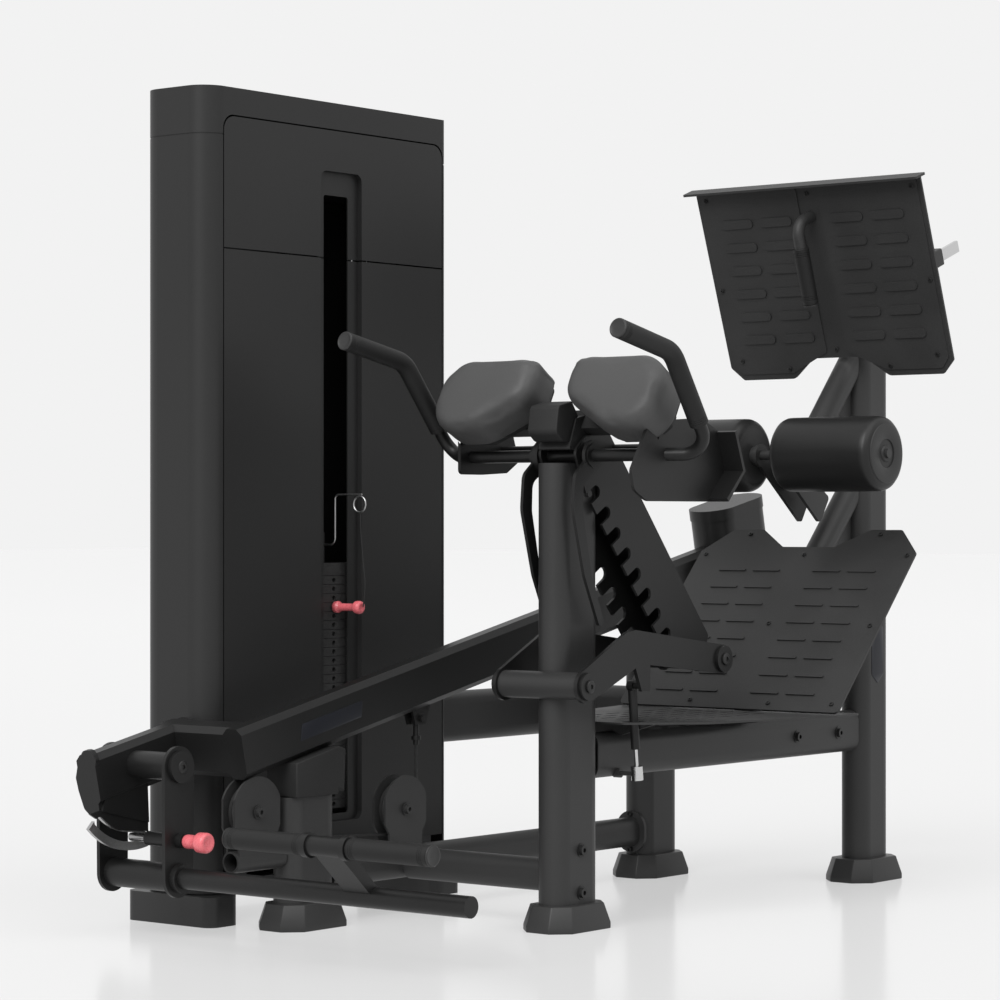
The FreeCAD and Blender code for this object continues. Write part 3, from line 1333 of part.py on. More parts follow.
def arm_plate(side):
    """One cranked plate, rounded round its pivot and round its far end."""
    y0 = side * arm_plate_y + (0 if side > 0 else -arm_plate_thick)
    start = bar(arm_pivot + Y * y0, arm_pivot + Y * (y0 + arm_plate_thick), arm_half_wide)
    end = bar(arm_far + Y * y0, arm_far + Y * (y0 + arm_plate_thick), arm_half_wide * 0.9)
    h = arm_half_wide
    shape = [(arm_pivot_x + h * 0.55, arm_pivot_z - h * 0.83), (apex_x + h, apex_low_z),
             (arm_end_x, arm_end_z - h * 0.9), (arm_end_x, arm_end_z + h * 0.9), (apex_x + h * 0.4,
                                                                                  apex_top_z),
             (apex_x - h * 0.5, apex_top_z - h * 0.12), (arm_pivot_x - h * 0.55, arm_pivot_z + h * 0.83)]
    web = slab(shape, 0, Vector(0, y0 + arm_plate_thick, 0), X, Z, arm_plate_thick)
    return start.fuse([end, web]).removeSplitter()


pivot_sleeve_r = 27.0
arm_pin_r = 12.0
sleeve_end = arm_plate_y - tube_end_gap
pivot_sleeve = bar(arm_pivot - Y * sleeve_end, arm_pivot + Y * sleeve_end, pivot_sleeve_r)
sleeve_bore = bar(arm_pivot - Y * far, arm_pivot + Y * far, arm_pin_r + pivot_clearance)
latch_x = 22.0
latch_drop = 60.0
latch_z = front_post_height - latch_drop
latch_r = 7.0
latch_gap = 1.0
latch_half = rack_y - latch_gap
latch_middle = Vector(latch_x, 0, latch_z)
latch_bar = bar(latch_middle - Y * latch_half, latch_middle + Y * latch_half, latch_r)
front_post = front_post.fuse([pivot_sleeve, latch_bar]).cut(sleeve_bore).removeSplitter()
write("front_post", front_post)
disc_r = 27.0
disc_thick = 7.0
arm_pin_half = Y * (arm_plate_y + arm_plate_thick)
arm_parts = [arm_plate(-1), arm_plate(1), bar(arm_pivot - arm_pin_half, arm_pivot + arm_pin_half, arm_pin_r),
             bar(arm_far - arm_pin_half, arm_far + arm_pin_half, arm_pin_r)]
for side in (-1, 1):
    for centre in (arm_pivot, arm_far):
        start = centre + Y * (side * (arm_plate_y + arm_plate_thick))
        arm_parts.append(bar(start, start + Y * (side * disc_thick), disc_r))
spring_top_x = 122.0
spring_top_z = 479.0
spring_top = Vector(spring_top_x, 0, spring_top_z)
spring_y = spring_slot_y
lug_r = 6.0
lug_over = 9.0
lug_half = 14.0
lug_under = 10.0
lug_near = 8.0
lug_far = 62.0
lug_in = 4.0
lug = bar(spring_top - Y * arm_plate_y, spring_top + Y * (spring_y + lug_over), lug_r)
lug_points = [(spring_top.x - lug_half, spring_top.z - lug_under),
              (spring_top.x + lug_half, spring_top.z - lug_under),
              (apex_x + lug_far, apex_low_z + lug_in), (apex_x + lug_near, apex_low_z + lug_in)]
lug_web = slab(lug_points, 0, Vector(0, -arm_plate_y, 0), X, Z, arm_plate_thick)
arm_parts.extend([lug, lug_web])
write("adjuster_arm", arm_parts[0].fuse(arm_parts[1:]).removeSplitter())

# Gas spring: a barrel pinned under the near arm plate, with a rod that ends on a ball stud
stud_x = 139.0
stud_z = 301.0
stud = Vector(stud_x, spring_y, stud_z)
spring_start = spring_top + Y * spring_y
spring_way = stud - spring_start
spring_way.normalize()
barrel_r = 9.0
spring_rod_r = 4.0
barrel_long = 128.0
eye_r = 11.0
eye_half = 7.0
stud_ball_r = 6.0
socket_gap = 3.5
barrel_top = spring_start + spring_way * eye_r * 0.8
barrel_low = spring_start + spring_way * barrel_long
eye = bar(spring_start - Y * eye_half, spring_start + Y * eye_half, eye_r)
barrel = bar(barrel_top, barrel_low, barrel_r).fuse(eye)
barrel = barrel.cut(bar(spring_start - Y * far, spring_start + Y * far, lug_r + pivot_clearance))
bore_start = barrel_low + spring_way * cut_over
eye_wall = 4.0
barrel_bore_top = spring_start + spring_way * (eye_r + eye_wall)
barrel = barrel.cut(bar(barrel_bore_top, bore_start, spring_rod_r + pivot_clearance))
write("gas_barrel", barrel)
rod_in_barrel = 92.0
rod_end_gap = 12.0
rod_start = barrel_low - spring_way * rod_in_barrel
rod_end = stud - spring_way * rod_end_gap
socket_r = 12.0
socket_up = 16.0
socket_body = bar(stud - spring_way * socket_up, stud + spring_way * socket_r, socket_r)
socket_cup = Part.makeSphere(stud_ball_r + socket_gap, stud)
socket_mouth = bar(stud, stud + Y * (socket_r + cut_over), stud_ball_r + socket_gap)
socket_body = socket_body.cut(socket_cup).cut(socket_mouth)
write("gas_rod", bar(rod_start, rod_end, spring_rod_r).fuse(socket_body))
stud_seat_y = -rail_wide / 2
stud_neck_r = 4.5
stud_boss_r = 9.0
stud_boss_in = 11.0
stud_body = bar(Vector(stud.x, stud_seat_y, stud.z), stud, stud_neck_r)
stud_plate = bar(Vector(stud.x, stud_seat_y - plate_thick, stud.z),
                 Vector(stud.x, stud_seat_y + stud_boss_in, stud.z), stud_boss_r)
spring_stud = stud_body.fuse([Part.makeSphere(stud_ball_r, stud), stud_plate])
write("side_rail", side_rail.fuse(spring_stud).removeSplitter())

# Pad carriage: a sloping strut between two toothed rack plates, hinged on the arm's far end
strut_top = Vector(strut_top_x, 0, strut_top_z)
strut_low = Vector(strut_low_x, 0, strut_low_z)
strut_way = strut_low - strut_top
strut_way.normalize()
strut_over = 22.0
strut = oval_bar(strut_top - strut_way * strut_over, strut_low, Y, strut_wide, strut_thick)
tooth_deep = 26.0
notch_r = 13.0
notch_line = Vector(notch_first_x, 0, notch_first_z)
plate_out = Vector(strut_way.z * -1, 0, strut_way.x)
if (strut_top - notch_line).dot(plate_out) < 0:
    plate_out = plate_out * -1
rack_span = (strut_top - notch_line).dot(plate_out)
rack_low_s = (strut_low - notch_line).dot(strut_way)


def on_rack(along, out):
    """A point in the rack's plane: along the strut from the first notch, and out towards it."""
    point = notch_line + strut_way * along + plate_out * out
    return (point.x, point.z)


hub_r = 27.0
hub_along = (Vector(arm_end_x, 0, arm_end_z) - notch_line).dot(strut_way)
hub_out = (Vector(arm_end_x, 0, arm_end_z) - notch_line).dot(plate_out)
cross = Vector(0, 0, cross_tube_z)
cross_along = (cross - notch_line).dot(strut_way)
cross_out = (cross - notch_line).dot(plate_out)
rack_top_run = 30.0
rack_top_in = 22.0
rack_top_out = 26.0
rack_nose_run = 20.0
rack_tail_in = 40.0
rack_strut_in = 4.0
rack_shoulder = 60.0
rack_collar = 12.0
mouth_back = 8.0
rack_corner = 20.0
rack_shape = [on_rack(cross_along - rack_top_run, cross_out - rack_top_in), on_rack(-rack_nose_run, 0),
              on_rack(rack_low_s - rack_tail_in, 0), on_rack(hub_along, hub_out - hub_r),
              on_rack(hub_along + hub_r * 0.6, hub_out), on_rack(rack_low_s, rack_span - rack_strut_in),
              on_rack(-rack_shoulder, rack_span - rack_strut_in),
              on_rack(cross_along - rack_top_run, cross_out + rack_top_out)]
rack_radii = shares([0.9, 0.4, 0.4, 1.0, 0.8, 0.4, 0.4, 0.9], rack_corner)


def rack_plate(y0):
    """A toothed plate: hooked notches are cut into its edge at an even pitch."""
    plate = slab(rack_shape, rack_radii, Vector(0, y0 + rack_thick, 0), X, Z, rack_thick)
    hub = bar(arm_far + Y * y0, arm_far + Y * (y0 + rack_thick), hub_r)
    top = bar(cross + Y * y0, cross + Y * (y0 + rack_thick), cross_tube_r + rack_collar)
    plate = plate.fuse([hub, top])
    cuts = []
    for index in range(rack_notches):
        along = index * rack_pitch
        root = on_rack(along, tooth_deep)
        mouth = on_rack(along - mouth_back, -notch_r * 2)
        middle = Vector(root[0], y0 - cut_over, root[1])
        cuts.append(bar(middle, middle + Y * (rack_thick + cut_over * 2), notch_r))
        way = Vector(mouth[0] - root[0], 0, mouth[1] - root[1])
        way.normalize()
        other = Vector(-way.z, 0, way.x)
        corners = [Vector(root[0], 0, root[1]) + other * notch_r,
                   Vector(root[0], 0, root[1]) - other * notch_r,
                   Vector(mouth[0], 0, mouth[1]) - other * notch_r, Vector(mouth[0], 0,
                                                                           mouth[1]) + other * notch_r]
        flat = [(corner.x, corner.z) for corner in corners]
        cuts.append(slab(flat, 0, Vector(0, y0 + rack_thick + cut_over, 0), X, Z, rack_thick + cut_over * 2))
    return plate.cut(cuts)


hub_end_gap = 1.0
hub_step = 4.0
hub_half = Y * (arm_plate_y - hub_end_gap)
hub_tube = bar(arm_far - hub_half, arm_far + hub_half, hub_r - hub_step)
hub_bore = bar(arm_far - Y * far, arm_far + Y * far, arm_pin_r + pivot_clearance)
near_rack = rack_plate(-rack_y - rack_thick)
far_rack = rack_plate(rack_y)
rack_joint = near_rack.fuse([far_rack, hub_tube]).cut(hub_bore)
write("rack_plates", rack_joint, strut.cut(rack_joint))

# Cross tube over the post top, its hub discs, the index disc and the side bars below them
cross_half = 244.0
side_bar_y = 60.0
side_bar_thick = 7.0
cross_tube = bar(cross - Y * cross_half, cross + Y * cross_half, cross_tube_r)
hub_disc_r = 30.0
hub_disc_thick = 9.0
hub_disc_gap = 1.0
hub_disc = []
for side in (-1, 1):
    start = cross + Y * (side * (side_bar_y + (side_bar_thick if side > 0 else 0)))
    hub_disc.append(bar(start, start + Y * (side * hub_disc_thick), hub_disc_r * 0.8))
side_bar_reach = 340.0
bar_shares = [(-0.041, -0.003), (-0.176, -0.109), (-0.194, -0.315), (-0.088, -0.697), (0.053, -0.991),
              (0.1, -0.974), (-0.024, -0.685), (-0.106, -0.321), (-0.1, -0.156), (0.047, -0.068)]
bar_path = placed(bar_shares, side_bar_reach, 0, cross_tube_z)
side_bar_bend = 60.0
bar_radii = shares([0.167, 0.433, 1.0, 1.0, 0.1, 0.1, 1.0, 0.833, 0.433, 0.167], side_bar_bend)
side_bars = []
for side in (-1, 1):
    y0 = side * side_bar_y + (side_bar_thick if side > 0 else 0)
    web = slab(bar_path, bar_radii, Vector(0, y0, 0), X, Z, side_bar_thick)
    start = cross + Y * (y0 - side_bar_thick)
    side_bars.append(web.fuse(bar(start, start + Y * side_bar_thick, hub_disc_r)))
index_disc = bar(cross + Y * (rack_y + rack_thick + hub_disc_gap),
                 cross + Y * (side_bar_y - hub_disc_gap / 2),
                 hub_disc_r * 1.2)
cross_parts = [cross_tube, index_disc] + hub_disc + side_bars
carriage_tube = cross_parts[0].fuse(cross_parts[1:]).cut(rack_joint).removeSplitter()
write("cross_tube", carriage_tube)

# Brackets under the pads: a deep side plate at each end of the cross tube, with a bent flange
side_plate_y = 240.0
side_plate_thick = 7.0
side_corner = 10.0
side_plate_long = 318.0
side_shares = [(-0.377, -0.101), (-0.352, -0.217), (-0.22, -0.286), (0.44, -0.286), (0.623, -0.097),
               (0.528, 0.154), (0.346, 0.23), (-0.189, 0.198)]
side_shape = placed(side_shares, side_plate_long, 0, cross_tube_z)
far_shares = [(-0.126, -0.101), (-0.094, -0.11), (0.094, -0.11), (0.346, -0.097), (0.472, -0.022),
              (0.409, 0.154), (0.189, 0.198), (-0.126, 0.198)]
far_shape = placed(far_shares, side_plate_long, 0, cross_tube_z)
side_radii = shares([1.4, 2.0, 4.0, 1.2, 1.0, 1.4, 2.0, 2.0], side_corner)
far_radii = shares([1.0, 0.2, 1.0, 1.2, 1.0, 1.4, 2.0, 1.2], side_corner)
flange_wide = 52.0
pad_plates = []
for side in (-1, 1):
    y0 = side * side_plate_y + (side_plate_thick if side > 0 else 0)
    shape, radii = (side_shape, side_radii) if side < 0 else (far_shape, far_radii)
    pad_plates.append(slab(shape, radii, Vector(0, y0, 0), X, Z, side_plate_thick))
flange_shares = [(0.44, -0.286), (0.623, -0.097), (0.528, 0.154), (0.506, 0.145), (0.597, -0.094),
                 (0.421, -0.267)]
flange_points = placed(flange_shares, side_plate_long, 0, cross_tube_z)
flange_y = side_plate_thick - side_plate_y
flange = slab(flange_points, 0, Vector(0, flange_y, 0), X, Z, side_plate_thick + flange_wide)
rear_cross_up = 13.0
rear_cross_r = 11.0
rear_cross_z = cross_tube_z + rear_cross_up
rear_cross_x = 96.0
rear_cross_middle = Vector(rear_cross_x, 0, rear_cross_z)
rear_cross = bar(rear_cross_middle - Y * side_plate_y, rear_cross_middle + Y * side_plate_y, rear_cross_r)
pad_bracket = pad_plates[0].fuse([pad_plates[1], flange, rear_cross])
pad_bracket = pad_bracket.cut(carriage_tube).cut(rack_joint).cut(strut)

# Hip pads: two crowned, bevelled cushions on sloping backing boards
pad_up = Vector(math.sin(pad_lean), 0, math.cos(pad_lean))
pad_out = Vector(-math.cos(pad_lean), 0, math.sin(pad_lean))
pad_shape_shares = [(-1.0, -0.55), (-0.7, -1.0), (0.0, -1.0), (1.0, -0.1), (1.0, 0.8), (0.85, 1.0),
                    (-0.62, 1.0),
                    (-1.0, 0.45)]
pad_corner = 26.0
pad_bevel = 30.0
pad_side_in = 5.0
pad_back_in = 2.0


def pad_section(side, shrink, depth):
    """The pad's outline at a depth behind its face, drawn in by shrink."""
    points = []
    for y_share, s_share in pad_shape_shares:
        points.append((side * -y_share * (pad_half - shrink), s_share * (pad_high / 2 - shrink)))
    if side > 0:
        points.reverse()
    middle = Vector(pad_x, side * pad_y, pad_z) + pad_out * (pad_thick / 2 - depth)
    return outline(points, pad_corner - shrink * 0.3, middle, Y, pad_up)


pads = []
for side, name in ((-1, "near_pad"), (1, "far_pad")):
    face = pad_section(side, pad_bevel * 0.62, 0)
    rim = pad_section(side, pad_bevel * 0.2, pad_bevel * 0.45)
    shoulder = pad_section(side, 0, pad_bevel)
    waist = pad_section(side, pad_side_in, pad_thick * 0.7)
    back = pad_section(side, pad_back_in, pad_thick)
    front_part = Part.makeLoft([face, rim, shoulder], True, True)
    back_part = Part.makeLoft([shoulder, waist, back], True, True)
    pads.append(front_part.fuse(back_part).removeSplitter())
    write(name, pads[-1])
pad_bracket = pad_bracket.cut(pads)
write("pad_brackets", *pad_bracket.Solids)

board_thick = 12.0
board_side_in = 14.0
board_end_in = 12.0
board_corner = 14.0
boards = []
for side in (-1, 1):
    board_half = pad_half - board_side_in
    board_reach = pad_high / 2 - board_end_in
    points = [(side * -y * board_half, s * board_reach) for y, s in pad_shape_shares]
    if side > 0:
        points.reverse()
    middle = Vector(pad_x, side * pad_y, pad_z) - pad_out * (pad_thick / 2 + seat_gap)
    face = Part.Face(outline(points, board_corner, middle, Y, pad_up))
    boards.append(face.extrude(pad_out * -board_thick))
board_middle = Vector(pad_x, 0, pad_z) - pad_out * (pad_thick / 2 + seat_gap + board_thick)
rail_high = 34.0
pad_rail_thick = 30.0
seat_block_gap = 2.0
seat_block_corner = 4.0
pad_rail_corner = 6.0
pad_rail_gap = 1.0
rail_half = side_plate_y - pad_rail_gap
rail_points = [(-rail_half, -rail_high), (rail_half, -rail_high), (rail_half, rail_high * 0.2),
               (-rail_half, rail_high * 0.2)]
pad_rail_face = Part.Face(outline(rail_points, pad_rail_corner, board_middle, Y, pad_up))
pad_rail = pad_rail_face.extrude(pad_out * -pad_rail_thick)
seat_block_long = 100.0
seat_block_shares = [(-0.44, 0.11), (0.44, 0.11), (0.7, 0.63), (0.6, 0.93), (-0.2, 0.73)]
seat_block_half = rack_y - seat_block_gap
seat_block = slab(placed(seat_block_shares, seat_block_long, 0, cross_tube_z), seat_block_corner,
                  Vector(0, seat_block_half, 0), X, Z, seat_block_half * 2)
pad_frame = boards[0].fuse([boards[1], pad_rail, seat_block])
pad_frame = pad_frame.cut(pads + [pad_bracket, carriage_tube, rack_joint, strut])
keep = [solid for solid in pad_frame.Solids if solid.Volume > far]
write("pad_boards", *keep)

nose_half = 36.0
nose_high = 80.0
nose_shares = [(-1.025, 0.55), (-0.75, 0.3375), (-0.25, 0.3375), (-0.125, 0.9875), (-0.375, 1.3375),
               (-0.925, 1.2125)]
nose_round = 14.0
nose_edge = 3.0
nose_radii = [nose_round, nose_round, nose_edge, nose_edge, nose_edge, nose_round * 0.86]
nose_block = slab(placed(nose_shares, nose_high, 0, cross_tube_z), nose_radii, Vector(0, nose_half, 0), X, Z,
                  nose_half * 2)
write("nose_block", nose_block.cut(pads + [pad_frame, carriage_tube, seat_block]))

# Side handles: bent tubes that rise from the ends of the cross tube, with long grips
handle_y = 332.0
handle_r = 15.0
handle_grip_r = 19.0
side_handles = []
side_grips = []
handle_caps = []
cap_long = 6.0
elbow_out = 108.0
elbow_up = 191.0
tip_out = 282.0
tip_up = 227.0
tip_wide = 4.0
turn_in = 11.0
foot_back = 36.0
low_bend = 44.0
elbow_bend = 60.0
grip_seat = 2.0
handle_core_r = handle_r - grip_seat
for side in (-1, 1):
    start = cross + Y * (side * (side_plate_y + side_plate_thick))
    elbow = Vector(-elbow_out, side * handle_y, cross_tube_z + elbow_up)
    tip = Vector(-tip_out, side * (handle_y + tip_wide), cross_tube_z + tip_up)
    low_turn = Vector(foot_back, side * (handle_y - turn_in), cross_tube_z)
    foot_way = start - low_turn
    foot_way.normalize()
    path_points = [start + foot_way * handle_r, low_turn, elbow, tip]
    tube = tube_path(path_points, [low_bend, elbow_bend], handle_core_r)
    tube = tube.cut(bar(cross, start, handle_r * 3))
    grip = tube_path([low_turn + (elbow - low_turn) * 0.3, elbow, tip], [elbow_bend], handle_grip_r)
    side_handles.append(tube)
    side_grips.append(grip.cut(tube))
    way = tip - elbow
    way.normalize()
    handle_caps.append(bar(tip, tip + way * cap_long, handle_grip_r))
write("side_handles", *side_handles)
write("side_grips", *side_grips, *handle_caps)

# Upper foot plate: a lipped tread on two flat slide bars that run through sleeves on the post
high_up = Vector(-math.sin(high_plate_lean), 0, math.cos(high_plate_lean))
high_back = Vector(math.cos(high_plate_lean), 0, math.sin(high_plate_lean))
high_origin = Vector(high_plate_x, 0, high_plate_z)
high_half = high_plate_half
chamfer = 30.0
foot_notch_out = 124.0
foot_notch_in = 66.0
foot_notch_deep = 46.0
high_shape = [(-high_half + chamfer, 0), (-foot_notch_out, 0), (-foot_notch_in, foot_notch_deep),
              (foot_notch_in, foot_notch_deep), (foot_notch_out, 0), (high_half - chamfer, 0),
              (high_half, chamfer),
              (high_half, high_plate_side), (-high_half, high_plate_side), (-high_half, chamfer)]
high_corner = 20.0
high_radii = shares([0.4, 1.0, 0.7, 0.7, 1.0, 0.4, 0.4, 0.1, 0.1, 0.4], high_corner)
high_plate = slab(high_shape, high_radii, high_origin, Y, high_up, plate_thick)
lip_deep = 34.0
lip_over = 12.0
lip_origin = high_origin + high_up * high_plate_side
lip_corner = 3.0
lip_half = high_half + lip_over
lip_points = [(-lip_half, -lip_deep), (lip_half, -lip_deep), (lip_half, plate_thick),
              (-lip_half, plate_thick)]
lip = slab(lip_points, lip_corner, lip_origin, Y, high_back, plate_thick)
panel_raise = 2.0
inner_gap = 26.0
inner_margin = 10.0
tread_low_s = 60.0
tread_edge = 14.0
tread_rise = 8.0
tread_panel_corner = 8.0
treads = []
for side in (-1, 1):
    tread_out = high_half - inner_margin
    tread_top = high_plate_side - inner_margin
    points = [(inner_gap, tread_low_s), (foot_notch_out, tread_edge), (high_half - chamfer, tread_edge),
              (tread_out, chamfer + tread_rise), (tread_out, tread_top), (inner_gap, tread_top)]
    points = [(side * y, s) for y, s in points]
    if side < 0:
        points.reverse()
    face = Part.Face(outline(points, tread_panel_corner, high_origin, Y, high_up))
    treads.append(face.extrude(high_back * -panel_raise))
high_rows = 6
high_row_pitch = 54.0
high_row_start = 96.0
high_louvre_inner_y = 92.0
high_louvre_pitch_y = 104.0
high_louvre_long = 84.0
high_louvre_wide = 20.0
high_lips = []
for row in range(high_rows):
    for column in range(2):
        for side in (-1, 1):
            lip_y = side * (high_louvre_inner_y + column * high_louvre_pitch_y)
            lip_s = high_row_start + row * high_row_pitch
            middle = high_origin + Y * lip_y + high_up * lip_s - high_back * panel_raise
            high_lips.append(louvre(middle, Y, high_up, high_back * -1, high_louvre_long, high_louvre_wide,
                                    louvre_high))
upper_foot_plate = high_plate.fuse([lip] + treads + high_lips)

slide_y = 205.0
slide_long = 236.0
slide_high = 26.0
slide_thick = 10.0
slide_s = 222.0
slide_corner = 2.0
slide_bars = []
for side in (-1, 1):
    start = high_origin + high_up * slide_s + Y * (side * slide_y) + high_back * plate_thick
    points = [(-slide_thick / 2, -slide_high / 2), (slide_thick / 2, -slide_high / 2),
              (slide_thick / 2, slide_high / 2), (-slide_thick / 2, slide_high / 2)]
    slide_bars.append(Part.Face(outline(points, slide_corner, start, Y,
                                        high_up)).extrude(high_back * slide_long))
write("slide_bars", *slide_bars)

sleeve_gap = 0.09
sleeve_wall = 6.0
sleeve_near = 84.0
sleeve_long = 70.0
sleeve_corner = 4.0
carrier_long = 60.0
carrier_wide = 40.0
neck_long_in = 12.0
neck_wide_in = 6.0
neck_up = 4.0
sleeves = []
for side in (-1, 1):
    start = high_origin + high_up * slide_s + Y * (side * slide_y) + high_back * (plate_thick + sleeve_near)
    outer_y = slide_thick / 2 + sleeve_wall
    outer_s = slide_high / 2 + sleeve_wall
    outer = [(-outer_y, -outer_s), (outer_y, -outer_s), (outer_y, outer_s), (-outer_y, outer_s)]
    inner_y = slide_thick / 2 + sleeve_gap
    inner_s = slide_high / 2 + sleeve_gap
    inner = [(-inner_y, -inner_s), (inner_y, -inner_s), (inner_y, inner_s), (-inner_y, inner_s)]
    body = Part.Face(outline(outer, sleeve_corner, start, Y, high_up)).extrude(high_back * sleeve_long)
    hole = Part.Face(outline(inner, slide_corner, start - high_back * cut_over, Y, high_up))
    hole = hole.extrude(high_back * (sleeve_long + cut_over * 2))
    sleeves.append(body.cut(hole))
beam_middle = high_origin + high_up * slide_s + high_back * (plate_thick + sleeve_near + sleeve_long / 2)
carrier_half = slide_y - slide_thick / 2 - sleeve_wall
carrier = oval_bar(beam_middle - Y * carrier_half, beam_middle + Y * carrier_half, high_up, carrier_long,
                   carrier_wide)
full_post = oval_bar(Vector(rear_post_x, 0, foot_height), Vector(rear_post_x, 0, rear_post_height), X,
                     rear_post_long, post_wide)
neck_half = post_wide / 2 - neck_wide_in
neck = block(Vector(rear_face_x + neck_long_in, -neck_half, rear_post_height),
             Vector(rear_post_x + rear_post_long / 2 - neck_long_in, neck_half, beam_middle.z + neck_up))
carrier = carrier.fuse([neck] + sleeves).cut(full_post)
write("plate_carrier", carrier.removeSplitter())

centre_s = 372.0
centre_out = 62.0
centre_low = 182.0
centre_lean = 4.0
centre_bend = 34.0
centre_bar_r = 13.0
centre_grip_long = 128.0
centre_grip_over = 4.0
centre_grip_r = 17.5
lever_root = high_origin + high_up * centre_s
centre_path = [lever_root, lever_root - high_back * centre_out,
               lever_root - high_back * (centre_out + centre_lean) - high_up * centre_low]
centre_handle = tube_path(centre_path, [centre_bend], centre_bar_r)
write("upper_foot_plate", upper_foot_plate, centre_handle.cut(upper_foot_plate))
grip_way = centre_path[2] - centre_path[1]
grip_way.normalize()
centre_grip = bar(centre_path[2] - grip_way * centre_grip_long, centre_path[2] + grip_way * centre_grip_over,
                  centre_grip_r)
centre_grip = centre_grip.cut(centre_handle)
write("centre_grip", centre_grip)

# Ankle rollers: two foam rollers on one axle, held by a fork between the braces
roller_axis = Vector(roller_x, 0, roller_z)
roller_axle_r = 10.0
roller_round = 12.0
core_wall = 8.0
core_gap = 0.3
core_start = 1.0
end_disc_in = 4.0
end_disc_out = 3.0
end_disc_r = 46.0
rim_match = 1.0
for side, name in ((-1, "near_roller"), (1, "far_roller")):
    out = Y * side
    start = roller_axis + out * roller_inner_y
    end = roller_axis + out * roller_outer_y
    body = bar(start, end, roller_r)
    rims = [edge for edge in body.Edges if abs(edge.Length - math.tau * roller_r) < rim_match]
    body = body.makeFillet(roller_round, rims)
    bore = bar(start - out * cut_over, end + out * cut_over, roller_axle_r + core_wall)
    core = ring(start + out * core_start, end - out * end_disc_in, roller_axle_r + core_wall - core_gap,
                roller_axle_r + axle_gap)
    cap_disc = bar(end + out * core_gap, end + out * end_disc_out, end_disc_r)
    cap_disc = cap_disc.cut(bar(end - out * cut_over, end + out * cut_over, roller_axle_r + axle_gap))
    write(name, body.cut(bore), core.fuse(cap_disc).removeSplitter())

fork_y = 21.0
fork_spacer_r = 20.0
fork_run_gap = 1.0
fork_thick = 8.0
fork_long = 176.0
fork_fall = 112.0
fork_wide = 26.0
fork_boss_r = 25.0
fork_corner = 10.0
axle_end_over = 8.0
fork_end = Vector(roller_x + fork_long, 0, roller_z - fork_fall)
fork_parts = []
fork_way = fork_end - roller_axis
fork_way.normalize()
fork_side = Vector(-fork_way.z, 0, fork_way.x)
for side in (-1, 1):
    y0 = side * fork_y + (fork_thick if side > 0 else 0)
    corners = [roller_axis - fork_side * fork_wide * 0.8, fork_end - fork_side * fork_wide * 1.6,
               fork_end + fork_side * fork_wide, roller_axis + fork_side * fork_wide * 0.8]
    flat = [(corner.x, corner.z) for corner in corners]
    web = slab(flat, shares([1.0, 0.8, 0.8, 1.0], fork_corner), Vector(0, y0, 0), X, Z, fork_thick)
    boss = bar(roller_axis + Y * (y0 - fork_thick), roller_axis + Y * y0, fork_boss_r)
    spacer_end = roller_axis + Y * (side * (roller_inner_y - fork_run_gap))
    spacer = bar(roller_axis + Y * (side * fork_y), spacer_end, fork_spacer_r)
    fork_parts.append(web.fuse([boss, spacer]))
axle_reach = Y * (roller_outer_y + axle_end_over)
axle = bar(roller_axis - axle_reach, roller_axis + axle_reach, roller_axle_r)
fork = fork_parts[0].fuse([fork_parts[1], axle]).removeSplitter()
write("roller_fork", fork.cut([high_brace, low_brace]))

# Bolts of the frame: socket heads on the front post, the rail and the flange of the base tube
flange_bolt_r = 5.0
low_bolt_z = 74.0
high_bolt_z = 158.0
first_bolt_x = 789.0
second_bolt_x = 954.0
front_bolt_zs = [high_bolt_z, low_bolt_z]
rail_bolt_xs = [first_bolt_x, second_bolt_x]
flange_bolt_up = base_tube_long / 2 + flange_over / 2
frame_bolts = [socket_bolt(Vector(0, -post_wide / 2, bolt_z), Y * -1) for bolt_z in front_bolt_zs]
frame_bolts += [socket_bolt(Vector(bolt_x, -rail_wide / 2, rail_z), Y * -1) for bolt_x in rail_bolt_xs]
for side in (-1, 1):
    flange_seat = Vector(long_end.x, lever_y, base_tube_z + side * flange_bolt_up)
    frame_bolts.append(socket_bolt(flange_seat, X * -1, flange_bolt_r, flange_bolt_r))
write("frame_bolts", *frame_bolts)

# Cable in the tower: up from the head plate's boss, through the head beam to the top pulley
boss_top = Vector(stack_x, stack_y, stack_top_z + head_high + head_boss_high)
write("stack_cable", bar(boss_top, Vector(stack_x, stack_y, top_pulley_z), rope_r))
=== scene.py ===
import math

import bpy
from mathutils import Matrix, Vector


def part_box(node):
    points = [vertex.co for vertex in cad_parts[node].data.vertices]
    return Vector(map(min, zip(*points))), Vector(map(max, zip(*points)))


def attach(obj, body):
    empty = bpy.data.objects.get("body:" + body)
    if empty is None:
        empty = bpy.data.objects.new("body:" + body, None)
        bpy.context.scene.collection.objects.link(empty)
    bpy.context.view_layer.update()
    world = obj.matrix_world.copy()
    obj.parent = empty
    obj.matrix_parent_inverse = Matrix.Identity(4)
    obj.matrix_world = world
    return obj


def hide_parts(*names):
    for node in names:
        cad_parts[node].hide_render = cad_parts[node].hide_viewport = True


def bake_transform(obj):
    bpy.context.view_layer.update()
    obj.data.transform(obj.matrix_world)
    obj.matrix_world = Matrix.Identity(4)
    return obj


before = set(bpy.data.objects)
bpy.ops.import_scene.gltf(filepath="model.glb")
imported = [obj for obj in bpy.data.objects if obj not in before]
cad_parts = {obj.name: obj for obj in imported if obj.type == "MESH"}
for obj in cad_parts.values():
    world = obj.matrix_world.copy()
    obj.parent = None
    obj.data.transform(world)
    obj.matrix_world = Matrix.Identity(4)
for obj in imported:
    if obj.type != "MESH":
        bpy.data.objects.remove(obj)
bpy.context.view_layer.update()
bpy.ops.object.select_all(action="DESELECT")

